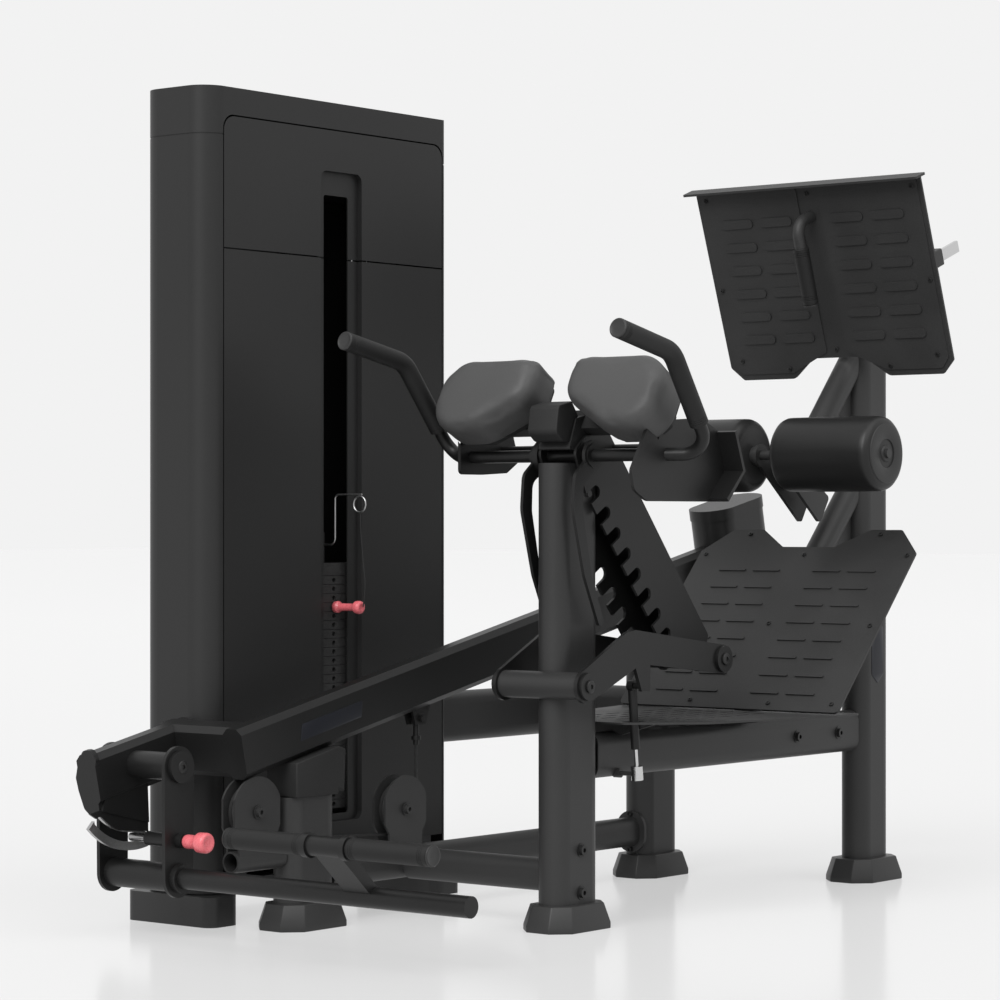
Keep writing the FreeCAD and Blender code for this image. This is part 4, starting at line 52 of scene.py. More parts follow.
# Camera: eye height of someone who stands a few metres off the head end, looking level
# along the machine from the user's side.
CAMERA_PLACE = (-4.9176, -3.7695, 0.81)
CAMERA_TURN = (90.0, 0.0, -51.3)
SENSOR_WIDTH = 36.0
LENS = 112.54
PICTURE_SHIFT = 0.02
FAR_CLIP = 200.0
camera_data = bpy.data.cameras.new("studio_camera")
camera_data.sensor_width = SENSOR_WIDTH
camera_data.lens = LENS
camera_data.shift_y = PICTURE_SHIFT
camera_data.clip_end = FAR_CLIP
camera = bpy.data.objects.new("studio_camera", camera_data)
camera.location = CAMERA_PLACE
camera.rotation_euler = [math.radians(turn) for turn in CAMERA_TURN]
bpy.context.scene.collection.objects.link(camera)
bpy.context.scene.camera = camera
bpy.context.scene.view_settings.view_transform = "Standard"

# Lanyard cord: a thin braided cord that hangs from the ring on the stack's arm to the tail
# of the selector pin's knob.
LANYARD_ROUTE = [(-0.0150, 0.5310, 0.8245), (-0.0160, 0.5300, 0.7900), (-0.0145, 0.5270, 0.7550),
                 (-0.0155, 0.5230, 0.7200), (-0.0140, 0.5190, 0.6880), (-0.0150, 0.5180, 0.6580),
                 (-0.0150, 0.5236, 0.6282)]
LANYARD_R = 0.0012
# A curve's box reaches past it by each point's own radius, so that is small here.
LANYARD_POINT_R = 0.002
lanyard_curve = bpy.data.curves.new("lanyard", "CURVE")
lanyard_curve.dimensions = "3D"
lanyard_spline = lanyard_curve.splines.new("NURBS")
lanyard_spline.points.add(len(LANYARD_ROUTE) - 1)
for point, place in zip(lanyard_spline.points, LANYARD_ROUTE):
    point.co = (*place, 1.0)
    point.radius = LANYARD_POINT_R
lanyard_spline.order_u = 3
lanyard_spline.use_endpoint_u = True
lanyard_spline.resolution_u = 8
lanyard_curve.bevel_depth = LANYARD_R / LANYARD_POINT_R
lanyard_curve.bevel_resolution = 3
lanyard_curve.use_fill_caps = True
lanyard = bpy.data.objects.new("lanyard", lanyard_curve)
bpy.context.scene.collection.objects.link(lanyard)
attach(lanyard, "stack_carriage")
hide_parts("lanyard_cord")


# Frame: posts, tubes and braces of welded steel tube under a satin black powder coat, whose
# surface is a fine orange peel with slow drifts of tone.
FINE_DETAIL = 3.0
SLOW_DETAIL = 2.0
SLOW_SHARE = 0.45


def surface_grain():
    """Fine and slow noise over a surface, as a tone and a height from 0 to 1."""
    group = bpy.data.node_groups.new("surface_grain", "ShaderNodeTree")
    group.interface.new_socket("Scale", in_out="INPUT", socket_type="NodeSocketFloat")
    group.interface.new_socket("Drift", in_out="INPUT", socket_type="NodeSocketFloat")
    group.interface.new_socket("Tone", in_out="OUTPUT", socket_type="NodeSocketFloat")
    group.interface.new_socket("Height", in_out="OUTPUT", socket_type="NodeSocketFloat")
    nodes = group.nodes
    links = group.links
    enter = nodes.new("NodeGroupInput")
    leave = nodes.new("NodeGroupOutput")
    place = nodes.new("ShaderNodeTexCoord")
    fine = nodes.new("ShaderNodeTexNoise")
    fine.inputs["Detail"].default_value = FINE_DETAIL
    slow = nodes.new("ShaderNodeTexNoise")
    slow.inputs["Detail"].default_value = SLOW_DETAIL
    links.new(place.outputs["Object"], fine.inputs["Vector"])
    links.new(place.outputs["Object"], slow.inputs["Vector"])
    links.new(enter.outputs["Scale"], fine.inputs["Scale"])
    links.new(enter.outputs["Drift"], slow.inputs["Scale"])
    mixed = nodes.new("ShaderNodeMix")
    mixed.inputs["Factor"].default_value = SLOW_SHARE
    links.new(fine.outputs["Fac"], mixed.inputs["A"])
    links.new(slow.outputs["Fac"], mixed.inputs["B"])
    links.new(mixed.outputs["Result"], leave.inputs["Tone"])
    links.new(fine.outputs["Fac"], leave.inputs["Height"])
    return group


GRAIN = surface_grain()
TONE_STOPS = (0.36, 0.64)
ROUGH_STOPS = (0.3, 0.7)
COAT_SPECULAR = 0.28


def grey(value, warm=0.0):
    """A neutral tone, or one a little warmer."""
    return (value * (1.0 + warm), value, value * (1.0 - warm))


def finish(name, dark, light, scale, rough, bump, metal=0.0, drift=2.0, lacquer=0.0):
    """A finish: two close tones, a spread of roughness and a relief, all from the surface grain."""
    material = bpy.data.materials.new(name)
    material.use_nodes = True
    nodes = material.node_tree.nodes
    links = material.node_tree.links
    shader = nodes["Principled BSDF"]
    grain = nodes.new("ShaderNodeGroup")
    grain.node_tree = GRAIN
    grain.inputs["Scale"].default_value = scale
    grain.inputs["Drift"].default_value = drift
    ramp = nodes.new("ShaderNodeValToRGB")
    ramp.color_ramp.elements[0].position = TONE_STOPS[0]
    ramp.color_ramp.elements[0].color = (*dark, 1.0)
    ramp.color_ramp.elements[1].position = TONE_STOPS[1]
    ramp.color_ramp.elements[1].color = (*light, 1.0)
    spread = nodes.new("ShaderNodeMapRange")
    spread.inputs["From Min"].default_value = ROUGH_STOPS[0]
    spread.inputs["From Max"].default_value = ROUGH_STOPS[1]
    spread.inputs["To Min"].default_value = rough[0]
    spread.inputs["To Max"].default_value = rough[1]
    relief = nodes.new("ShaderNodeBump")
    relief.inputs["Strength"].default_value = 1.0
    relief.inputs["Distance"].default_value = bump
    links.new(grain.outputs["Tone"], ramp.inputs["Fac"])
    links.new(ramp.outputs["Color"], shader.inputs["Base Color"])
    links.new(grain.outputs["Tone"], spread.inputs["Value"])
    links.new(spread.outputs["Result"], shader.inputs["Roughness"])
    links.new(grain.outputs["Height"], relief.inputs["Height"])
    links.new(relief.outputs["Normal"], shader.inputs["Normal"])
    shader.inputs["Metallic"].default_value = metal
    shader.inputs["Specular IOR Level"].default_value = COAT_SPECULAR
    shader.inputs["Coat Weight"].default_value = lacquer
    return material


def dress(node, material):
    """Gives a node of the frame model its finish."""
    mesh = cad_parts[node].data
    mesh.materials.clear()
    mesh.materials.append(material)


FRAME_COAT = finish("frame_powder_coat", grey(0.020), grey(0.030), 900.0, (0.38, 0.50), 0.00012)
for node in ("front_post", "rear_post", "lever_posts", "side_rail", "base_tubes", "deck_tubes",
             "rear_braces", "deck_bearers", "base_pulley_cheeks", "plate_carrier", "roller_fork",
             "tower_frame"):
    dress(node, FRAME_COAT)


# Feet: four cast shoes under the posts, with softly rounded arrises under the same coat.
WELD = 0.00005
FLAT_ANGLE = math.radians(1.0)
ROUNDING_STEPS = 3
EDGE_ANGLE = math.radians(32.0)
CAST_SMOOTH = math.radians(34.0)
FEET_ROUNDING = 0.0022


def pick(piece):
    """Selects one piece alone and makes it the active one."""
    bpy.ops.object.select_all(action="DESELECT")
    bpy.context.view_layer.objects.active = piece
    piece.select_set(True)


def softened(node, name, width):
    """A copy of a node with its edges rounded, as a cast or moulded piece has them."""
    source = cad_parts[node]
    piece = bpy.data.objects.new(name, source.data.copy())
    bpy.context.scene.collection.objects.link(piece)
    pick(piece)
    bpy.ops.object.mode_set(mode="EDIT")
    bpy.ops.mesh.select_all(action="SELECT")
    bpy.ops.mesh.remove_doubles(threshold=WELD)
    bpy.ops.mesh.dissolve_limited(angle_limit=FLAT_ANGLE)
    bpy.ops.object.mode_set(mode="OBJECT")
    edge = piece.modifiers.new("rounded_edges", "BEVEL")
    edge.width = width
    edge.segments = ROUNDING_STEPS
    edge.limit_method = "ANGLE"
    edge.angle_limit = EDGE_ANGLE
    bpy.ops.object.modifier_apply(modifier=edge.name)
    bpy.ops.object.shade_smooth_by_angle(angle=CAST_SMOOTH)
    return piece


def settle(piece, body, material, nodes=()):
    """Gives a finished piece its body, its finish and the nodes that it stands for."""
    piece.data.materials.clear()
    piece.data.materials.append(material)
    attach(piece, body)
    if nodes:
        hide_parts(*nodes)


settle(softened("post_feet", "cast_feet", FEET_ROUNDING), "frame", FRAME_COAT, ["post_feet"])

# Tower: folded sheet shells, a cap and two front panels, coated smoother than the tubes.
TOWER_COAT = finish("tower_sheet_coat", grey(0.013), grey(0.019), 700.0, (0.40, 0.50), 0.00006, drift=1.0)
for node in ("tower_shells", "tower_cap", "tower_front_panels"):
    dress(node, TOWER_COAT)

# Lever, handle frame and pad carriage: steel plate and tube in a slightly darker coat.
LEVER_COAT = finish("lever_powder_coat", grey(0.006), grey(0.011), 900.0, (0.34, 0.46), 0.00012)
for node in ("lever_beam", "counterweight", "cable_bracket", "handle_bar", "handle_plates", "adjuster_arm",
             "rack_plates", "cross_tube", "pad_brackets", "side_handles", "gas_barrel"):
    dress(node, LEVER_COAT)

# Foot plates: pressed sheet with a coarser coat where feet rest.
TREAD_COAT = finish("tread_coat", grey(0.020), grey(0.034), 500.0, (0.42, 0.58), 0.00020, drift=5.0)
for node in ("lower_foot_plate", "step_plate", "upper_foot_plate"):
    dress(node, TREAD_COAT)

# Stack and bright parts: cast plates, chromed rods, the brushed sector, cables and pulleys.
STACK_IRON = finish("stack_iron", grey(0.020), grey(0.040), 300.0, (0.45, 0.65), 0.00020)
for node in ("resting_plates", "lifted_plates", "head_plate"):
    dress(node, STACK_IRON)
CHROME = finish("chromed_steel", grey(0.55), grey(0.62), 400.0, (0.08, 0.16), 0.00001, metal=1.0)
for node in ("guide_rods", "gas_rod", "slide_bars"):
    dress(node, CHROME)
BRUSHED = finish("brushed_steel", grey(0.38), grey(0.52), 260.0, (0.28, 0.42), 0.00004, metal=1.0)
for node in ("index_sector", "lanyard_arm"):
    dress(node, BRUSHED)
BLACK_BOLT = finish("blackened_bolts", grey(0.02), grey(0.04), 500.0, (0.25, 0.36), 0.00004, metal=0.5)
dress("frame_bolts", BLACK_BOLT)
CABLE = finish("cable_jacket", grey(0.012), grey(0.022), 1500.0, (0.45, 0.6), 0.00010)
dress("run_cable", CABLE)
lanyard.data.materials.append(CABLE)


ROPE_ROUND = 24
ROPE_STEPS = 120
STRANDS = 6.0
STRAND_MEAN = 0.95
STRAND_DEPTH = 0.05
STRAND_TWIST = 60.0
ROPE_WELD = 0.00002
ROPE_SMOOTH = math.radians(50.0)


def face_outward():
    """Turns the faces of the mesh in edit mode outward and leaves that mode."""
    bpy.ops.mesh.select_all(action="SELECT")
    bpy.ops.mesh.normals_make_consistent(inside=False)
    bpy.ops.object.mode_set(mode="OBJECT")


def laid_rope(name, node):
    """Six laid strands where an upright run stands, built in place of the node and tied to no body."""
    low, high = (Vector(corner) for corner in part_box(node))
    rope_r = (high.x - low.x) / 2
    middle = (low + high) / 2
    bpy.ops.object.select_all(action="DESELECT")
    bpy.ops.mesh.primitive_grid_add(x_subdivisions=ROPE_ROUND, y_subdivisions=ROPE_STEPS, size=1.0,
                                    location=(0, 0, 0))
    rope = bpy.context.object
    rope.name = name
    for vertex in rope.data.vertices:
        turn = (vertex.co.x + 0.5) * math.tau
        height = low.z + (high.z - low.z) * (vertex.co.y + 0.5)
        wave = math.cos(STRANDS * (turn + height * STRAND_TWIST))
        strand = rope_r * (STRAND_MEAN + STRAND_DEPTH * wave)
        vertex.co = (middle.x + strand * math.cos(turn), middle.y + strand * math.sin(turn), height)
    bpy.ops.object.mode_set(mode="EDIT")
    bpy.ops.mesh.select_all(action="SELECT")
    bpy.ops.mesh.remove_doubles(threshold=ROPE_WELD)
    bpy.ops.mesh.fill_holes(sides=0)
    face_outward()
    bpy.ops.object.shade_smooth_by_angle(angle=ROPE_SMOOTH)
    rope.data.materials.append(CABLE)
    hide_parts(node)
    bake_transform(rope)


laid_rope("drop_rope", "drop_cable")
laid_rope("stack_rope", "stack_cable")
PULLEY_NYLON = finish("pulley_nylon", grey(0.018), grey(0.028), 300.0, (0.35, 0.5), 0.00008)
for node in ("top_pulley", "lower_pulley", "far_pulley"):
    dress(node, PULLEY_NYLON)

# Stop saddle, nose block and pad boards: moulded rubber and plastic with rounded edges.
STOP_RUBBER = finish("stop_rubber", grey(0.010), grey(0.018), 600.0, (0.55, 0.7), 0.00020)
RUBBER_ROUNDING = 0.003
saddle = softened("stop_saddle", "rubber_saddle", RUBBER_ROUNDING)
settle(saddle, "frame", STOP_RUBBER, ["stop_saddle"])
nose = softened("nose_block", "rubber_nose", RUBBER_ROUNDING)
settle(nose, "pad_carriage", STOP_RUBBER, ["nose_block"])
BOARD_PLASTIC = finish("pad_board_plastic", grey(0.014), grey(0.02), 500.0, (0.5, 0.6), 0.00010)
dress("pad_boards", BOARD_PLASTIC)

# Hip pads: thick foam cushions under mid grey vinyl, crowned over bevelled edges and flat on
# their boards.
PAD_VINYL = finish("pad_vinyl", grey(0.052), grey(0.066), 520.0, (0.44, 0.56), 0.00016, drift=3.0)
PAD_LEAN = math.radians(28.0)
PAD_UP = Vector((math.sin(PAD_LEAN), 0.0, math.cos(PAD_LEAN)))
PAD_OUT = Vector((-math.cos(PAD_LEAN), 0.0, math.sin(PAD_LEAN)))
PAD_OUTLINE = [(-1.0, -0.55), (-0.7, -1.0), (0.0, -1.0), (1.0, -0.1), (1.0, 0.8), (0.85, 1.0),
               (-0.62, 1.0), (-1.0, 0.45)]
PAD_HALF = 0.116
PAD_HIGH = 0.160
PAD_THICK = 0.090
PAD_TUCK = 0.002
PAD_SWELL = 0.002
PAD_CORNER = 0.022
PAD_VOXEL = 0.0045
PAD_PRESSURE = 4.0
PAD_FRAMES = 20
PAD_SMOOTHINGS = 9
PAD_X = -0.040
PAD_Y = 0.160
PAD_Z = 1.048
# Rise and growth of each ring, from the board over the sides and the bevel to the crown.
PAD_RINGS = [(0.001, 1.012), (0.026, 0.985), (0.030, 1.022), (0.004, 1.0), (0.013, 0.970),
             (0.009, 0.940), (0.004, 0.955), (0.0012, 0.80), (0.0008, 0.60)]


def hip_pad(name, side):
    """An eight sided cushion with a broad bevel and a crowned face, swelled under its cover."""
    bpy.ops.object.select_all(action="DESELECT")
    bpy.ops.mesh.primitive_circle_add(vertices=8, radius=0.1, fill_type="NGON", location=(0, 0, 0))
    pad = bpy.context.object
    pad.name = name
    for vertex, (across, up) in zip(pad.data.vertices, PAD_OUTLINE):
        vertex.co = (across * side * (PAD_HALF - PAD_TUCK), up * (PAD_HIGH / 2 - PAD_TUCK),
                     -PAD_THICK / 2)
    bpy.ops.object.mode_set(mode="EDIT")
    bpy.ops.mesh.select_all(action="SELECT")
    bpy.ops.mesh.normals_make_consistent(inside=False)
    bpy.ops.mesh.bevel(offset=PAD_CORNER, segments=5, affect="VERTICES")
    for rise, grow in PAD_RINGS:
        bpy.ops.mesh.extrude_region_move(TRANSFORM_OT_translate={"value": (0, 0, rise)})
        bpy.ops.transform.resize(value=(grow, grow, 1.0))
    face_outward()
    pad.data.remesh_voxel_size = PAD_VOXEL
    pad.data.remesh_voxel_adaptivity = 0.0
    bpy.ops.object.voxel_remesh()
    start = [vertex.co.copy() for vertex in pad.data.vertices]
    stuffing = pad.modifiers.new("stuffing", "CLOTH")
    stuffing.settings.use_pressure = True
    stuffing.settings.uniform_pressure_force = PAD_PRESSURE
    stuffing.settings.effector_weights.gravity = 0.0
    stuffing.settings.quality = 4
    stuffing.point_cache.frame_start = 1
    stuffing.point_cache.frame_end = PAD_FRAMES
    for step in range(1, PAD_FRAMES + 1):
        bpy.context.scene.frame_set(step)
    bpy.ops.object.modifier_apply(modifier=stuffing.name)
    bpy.context.scene.frame_set(1)
    for vertex, before in zip(pad.data.vertices, start):
        move = vertex.co - before
        if move.length > PAD_SWELL:
            vertex.co = before + move * (PAD_SWELL / move.length)
    rounding = pad.modifiers.new("soft_edges", "SMOOTH")
    rounding.factor = 0.5
    rounding.iterations = PAD_SMOOTHINGS
    bpy.ops.object.modifier_apply(modifier=rounding.name)
    for vertex in pad.data.vertices:
        vertex.co.z = max(vertex.co.z, -PAD_THICK / 2)
    cover = pad.modifiers.new("cover", "SUBSURF")
    cover.levels = 1
    cover.render_levels = 1
    bpy.ops.object.modifier_apply(modifier=cover.name)
    middle = Vector((PAD_X, side * PAD_Y, PAD_Z))
    turn = Matrix((PAD_UP.cross(PAD_OUT), PAD_UP, PAD_OUT)).transposed().to_4x4()
    pad.data.transform(Matrix.Translation(middle) @ turn)
    bpy.ops.object.shade_smooth()
    return pad


for name, side in (("near_pad", -1), ("far_pad", 1)):
    settle(hip_pad(name + "_cushion", side), "pad_carriage", PAD_VINYL, [name])


# Ankle rollers: foam on a steel core under a tight satin vinyl sleeve, closed by a broad end
# disc with a recessed hub.
TURNED_SMOOTH = math.radians(38.0)


def aim(piece, place, way, run=0.0):
    """Turns a piece from upright to a way and sets it down a run along that way from a place."""
    way = Vector(way).normalized()
    turn = Vector((0, 0, 1)).rotation_difference(way).to_matrix().to_4x4()
    piece.data.transform(Matrix.Translation(Vector(place) + way * run) @ turn)


def turned(name, profile, place, way, segments=64):
    """A turned piece: a disc is extruded and resized along its axis by (run, radius) steps."""
    first_run, radius = profile[0]
    bpy.ops.object.select_all(action="DESELECT")
    bpy.ops.mesh.primitive_circle_add(vertices=segments, radius=radius, fill_type="NGON",
                                      location=(0, 0, 0))
    piece = bpy.context.object
    piece.name = name
    bpy.ops.object.mode_set(mode="EDIT")
    bpy.ops.mesh.select_all(action="SELECT")
    run = first_run
    for next_run, next_radius in profile[1:]:
        bpy.ops.mesh.extrude_region_move(TRANSFORM_OT_translate={"value": (0, 0, next_run - run)})
        bpy.ops.transform.resize(value=(next_radius / radius, next_radius / radius, 1.0))
        run, radius = next_run, next_radius
    face_outward()
    aim(piece, place, way, first_run)
    bpy.ops.object.shade_smooth_by_angle(angle=TURNED_SMOOTH)
    return piece


ROLLER_VINYL = finish("roller_vinyl", grey(0.008), grey(0.013), 520.0, (0.34, 0.46), 0.00016)
DISC_PLASTIC = finish("end_disc_plastic", grey(0.017), grey(0.024), 800.0, (0.42, 0.52), 0.00010)
ROLLER_PLACE = (0.722, 0.0, 0.950)
SLEEVE_PROFILE = [(0.0425, 0.0600), (0.0435, 0.0660), (0.0460, 0.0720), (0.0505, 0.0770), (0.0560, 0.0792),
                  (0.0640, 0.0796), (0.1000, 0.0798), (0.1660, 0.0800), (0.2340, 0.0798), (0.2700, 0.0796),
                  (0.2780, 0.0792), (0.2835, 0.0770), (0.2880, 0.0725), (0.2905, 0.0670), (0.2912, 0.0620)]
DISC_PROFILE = [(0.2850, 0.0630), (0.2915, 0.0636), (0.2932, 0.0622), (0.2936, 0.0600), (0.2938, 0.0320),
                (0.2930, 0.0306), (0.2900, 0.0300), (0.2895, 0.0190), (0.2925, 0.0180), (0.2945, 0.0160),
                (0.2948, 0.0080), (0.2920, 0.0060)]
INNER_PROFILE = [(-0.0460, 0.0610), (-0.0430, 0.0612), (-0.0424, 0.0600), (-0.0422, 0.0330),
                 (-0.0421, 0.0210)]
ROLLER_SEGMENTS = 96
for name, side in (("near_roller", -1), ("far_roller", 1)):
    way = (0, side, 0)
    sleeve = turned(name + "_sleeve", SLEEVE_PROFILE, ROLLER_PLACE, way, ROLLER_SEGMENTS)
    settle(sleeve, name, ROLLER_VINYL, [name])
    end_disc = turned(name + "_end_disc", DISC_PROFILE, ROLLER_PLACE, way, ROLLER_SEGMENTS)
    settle(end_disc, name, DISC_PLASTIC)
    inner_disc = turned(name + "_inner_disc", INNER_PROFILE, ROLLER_PLACE, (0, -side, 0), ROLLER_SEGMENTS)
    settle(inner_disc, name, DISC_PLASTIC)

# Straight grips: ribbed rubber sleeves on the low cross bar and on the upper plate's handle,
# each closed by a plain rounded cap.
GRIP_RUBBER = finish("grip_rubber", grey(0.006), grey(0.010), 1400.0, (0.5, 0.66), 0.00022)
CAP_PLASTIC = finish("cap_plastic", grey(0.02), grey(0.03), 800.0, (0.3, 0.4), 0.00006)


LIP_RUN = 0.0012
LIP_DEPTH = 0.0016
FIRST_RINGS = (0.008, 0.012, 0.016)
LAST_RINGS = (0.020, 0.016, 0.012)
# Run and depth below the radius of the steps of one ring, and of a cap before its dish.
RING_STEPS = ((0.0, 0.0001), (0.0006, 0.0009), (0.0014, 0.0009), (0.0020, 0.0001))
CAP_STEPS = ((0.0, 0.0012), (0.0006, 0.0002), (0.0020, 0.0001), (0.0032, 0.0010), (0.0036, 0.0028),
             (0.0030, 0.0040))
DISH_RUN = 0.0028
DISH_SHARE = 0.3


def grip_profile(start, end, radius):
    """Run and radius steps of a sleeve with three shallow rings near each end."""
    steps = [(start, radius - LIP_DEPTH), (start + LIP_RUN, radius - 0.0002)]
    for ring_start in [start + run for run in FIRST_RINGS] + [end - run for run in LAST_RINGS]:
        steps += [(ring_start + run, radius - depth) for run, depth in RING_STEPS]
    return steps + [(end - LIP_RUN, radius - 0.0002), (end, radius - LIP_DEPTH)]


def end_cap(name, start, radius, place, way):
    """A plain moulded cap with a rounded rim and a shallow dish."""
    steps = [(start + run, radius - depth) for run, depth in CAP_STEPS]
    steps.append((start + DISH_RUN, radius * DISH_SHARE))
    return turned(name, steps, place, way)


CROSS_BAR_PLACE = (-0.708, 0.0, 0.220)
BAR_GRIP_START = 0.0545
BAR_GRIP_END = 0.2440
BAR_CAP_START = 0.2441
BAR_GRIP_R = 0.0199
for name, side in (("near_bar", -1), ("far_bar", 1)):
    way = (0, side, 0)
    sleeve_steps = grip_profile(BAR_GRIP_START, BAR_GRIP_END, BAR_GRIP_R)
    grip = turned(name + "_grip", sleeve_steps, CROSS_BAR_PLACE, way)
    settle(grip, "handle_frame", GRIP_RUBBER, ["bar_grips"] if side < 0 else [])
    cap = end_cap(name + "_cap", BAR_CAP_START, BAR_GRIP_R, CROSS_BAR_PLACE, way)
    settle(cap, "handle_frame", CAP_PLASTIC)
CENTRE_GRIP_PLACE = Vector((0.84138, 0.0, 1.40589))
CENTRE_GRIP_WAY = Vector((0.32294, 0.0, -0.94642))
CENTRE_GRIP_START = 0.0005
CENTRE_GRIP_END = 0.1270
CENTRE_CAP_START = 0.1271
CENTRE_GRIP_R = 0.0174
centre_steps = grip_profile(CENTRE_GRIP_START, CENTRE_GRIP_END, CENTRE_GRIP_R)
centre = turned("centre_handle_grip", centre_steps, CENTRE_GRIP_PLACE, CENTRE_GRIP_WAY)
settle(centre, "upper_plate", GRIP_RUBBER, ["centre_grip"])
centre_cap = end_cap("centre_handle_cap", CENTRE_CAP_START, CENTRE_GRIP_R, CENTRE_GRIP_PLACE,
                     CENTRE_GRIP_WAY)
settle(centre_cap, "upper_plate", CAP_PLASTIC)


# Side handle grips: long rubber sleeves pulled over the bent tubes, from low on the first
# rise, round the bend and up to a plain cap at the tip.
RING_SHAPE = ((0.0, 0.0), (0.0006, 0.0009), (0.0014, 0.0009), (0.0020, 0.0))
OUTER_ARM = 0.001
SLEEVE_WELD = 0.00001
SLEEVE_SMOOTH = math.radians(40.0)


def bent_sleeve(name, low, bend, tip, radius, bend_r):
    """A sleeve along two straight runs and one arc, with rings rolled near both ends."""
    first = (bend - low).normalized()
    second = (tip - bend).normalized()
    turn = first.angle(second)
    back = bend_r * math.tan(turn / 2)
    arm = bend_r * 4 / 3 * math.tan(turn / 4)
    enter = bend - first * back
    leave = bend + second * back
    curve = bpy.data.curves.new(name, "CURVE")
    curve.dimensions = "3D"
    spline = curve.splines.new("BEZIER")
    stops = [(low, first, radius - LIP_DEPTH), (low + first * LIP_RUN, first, radius)]
    for ring_start in FIRST_RINGS:
        for run, depth in RING_SHAPE:
            stops.append((low + first * (ring_start + run), first, radius - depth))
    stops.append((enter, first, radius))
    arc_at = len(stops) - 1
    stops.append((leave, second, radius))
    length = (tip - leave).length
    for ring_start in [length - run for run in LAST_RINGS]:
        for run, depth in RING_SHAPE:
            stops.append((leave + second * (ring_start + run), second, radius - depth))
    for run, depth in ((length - LIP_RUN, 0.0), (length, LIP_DEPTH)):
        stops.append((leave + second * run, second, radius - depth))
    spline.bezier_points.add(len(stops) - 1)
    for index, (place, way, size) in enumerate(stops):
        point = spline.bezier_points[index]
        point.co = place
        point.radius = size / radius
        point.handle_left_type = "FREE"
        point.handle_right_type = "FREE"
        before = after = OUTER_ARM
        if index == arc_at + 1:
            before = arm
        elif index:
            before = (place - stops[index - 1][0]).length / 3
        if index == arc_at:
            after = arm
        elif index + 1 < len(stops):
            after = (stops[index + 1][0] - place).length / 3
        point.handle_left = place - way * before
        point.handle_right = place + way * after
    spline.resolution_u = 14
    curve.bevel_depth = radius
    curve.bevel_resolution = 14
    curve.use_fill_caps = True
    piece = bpy.data.objects.new(name, curve)
    bpy.context.scene.collection.objects.link(piece)
    pick(piece)
    bpy.ops.object.convert(target="MESH")
    piece = bpy.context.object
    bpy.ops.object.mode_set(mode="EDIT")
    bpy.ops.mesh.select_all(action="SELECT")
    bpy.ops.mesh.remove_doubles(threshold=SLEEVE_WELD)
    face_outward()
    bpy.ops.object.shade_smooth_by_angle(angle=SLEEVE_SMOOTH)
    return piece


SIDE_GRIP_R = 0.0189
SIDE_CAP_R = 0.0190
SIDE_CAP_START = 0.0002
SIDE_BEND_R = 0.060
SIDE_GRIP_START = 0.3
for name, side in (("near_side", -1), ("far_side", 1)):
    foot = Vector((0.036, side * 0.321, 0.937))
    bend = Vector((-0.108, side * 0.332, 1.128))
    tip = Vector((-0.282, side * 0.336, 1.164))
    low = foot + (bend - foot) * SIDE_GRIP_START
    sleeve = bent_sleeve(name + "_grip", low, bend, tip, SIDE_GRIP_R, SIDE_BEND_R)
    settle(sleeve, "pad_carriage", GRIP_RUBBER, ["side_grips"] if side < 0 else [])
    cap = end_cap(name + "_cap", SIDE_CAP_START, SIDE_CAP_R, tip, tip - bend)
    settle(cap, "pad_carriage", CAP_PLASTIC)

# Pull knobs: moulded red spools on steel pins. One draws the handle frame's index pin, the
# other picks the weight.
KNOB_RED = finish("knob_red", (0.60, 0.11, 0.13), (0.70, 0.16, 0.18), 300.0, (0.22, 0.34), 0.00004,
                  lacquer=0.3)
PIN_STEEL = finish("pin_steel", grey(0.32), grey(0.42), 500.0, (0.2, 0.3), 0.00002, metal=1.0)
SELECTOR_PLACE = (-0.015, 0.601, 0.62759)
SELECTOR_STEPS = [(0.0002, 0.0112), (0.0010, 0.0119), (0.0050, 0.0124), (0.0090, 0.0128), (0.0104, 0.0124),
                  (0.0130, 0.0096), (0.0160, 0.0082), (0.0340, 0.0078), (0.0500, 0.0082), (0.0540, 0.0098),
                  (0.0590, 0.0134), (0.0620, 0.0139), (0.0680, 0.0138), (0.0716, 0.0126), (0.0738, 0.0096),
                  (0.0742, 0.0070), (0.0734, 0.0050), (0.0732, 0.0020)]
selector = turned("selector_knob", SELECTOR_STEPS, SELECTOR_PLACE, (0, -1, 0))
settle(selector, "selector_pin", KNOB_RED, ["selector_pin"])
SELECTOR_SHAFT_STEPS = [(-0.0470, 0.0030), (-0.0450, 0.0049), (-0.0440, 0.0050), (0.0080, 0.0050)]
selector_shaft = turned("selector_shaft", SELECTOR_SHAFT_STEPS, SELECTOR_PLACE, (0, -1, 0), segments=32)
settle(selector_shaft, "selector_pin", PIN_STEEL)
PULL_PLACE = (-0.611, 0.453, 0.193)
PULL_STEPS = [(0.0002, 0.0118), (0.0012, 0.0128), (0.0060, 0.0138), (0.0160, 0.0136), (0.0300, 0.0130),
              (0.0320, 0.0142), (0.0350, 0.0186), (0.0375, 0.0198), (0.0540, 0.0199), (0.0575, 0.0188),
              (0.0596, 0.0160), (0.0598, 0.0126), (0.0588, 0.0110), (0.0586, 0.0040)]
index_knob = turned("index_knob", PULL_STEPS, PULL_PLACE, (0, -1, 0))
settle(index_knob, "pull_pin", KNOB_RED, ["pull_pin"])
PULL_SHAFT_STEPS = [(-0.1510, 0.0060), (-0.1490, 0.0080), (-0.1480, 0.0080), (0.0100, 0.0080)]
index_shaft = turned("index_shaft", PULL_SHAFT_STEPS, PULL_PLACE, (0, -1, 0), segments=40)
settle(index_shaft, "pull_pin", PIN_STEEL)


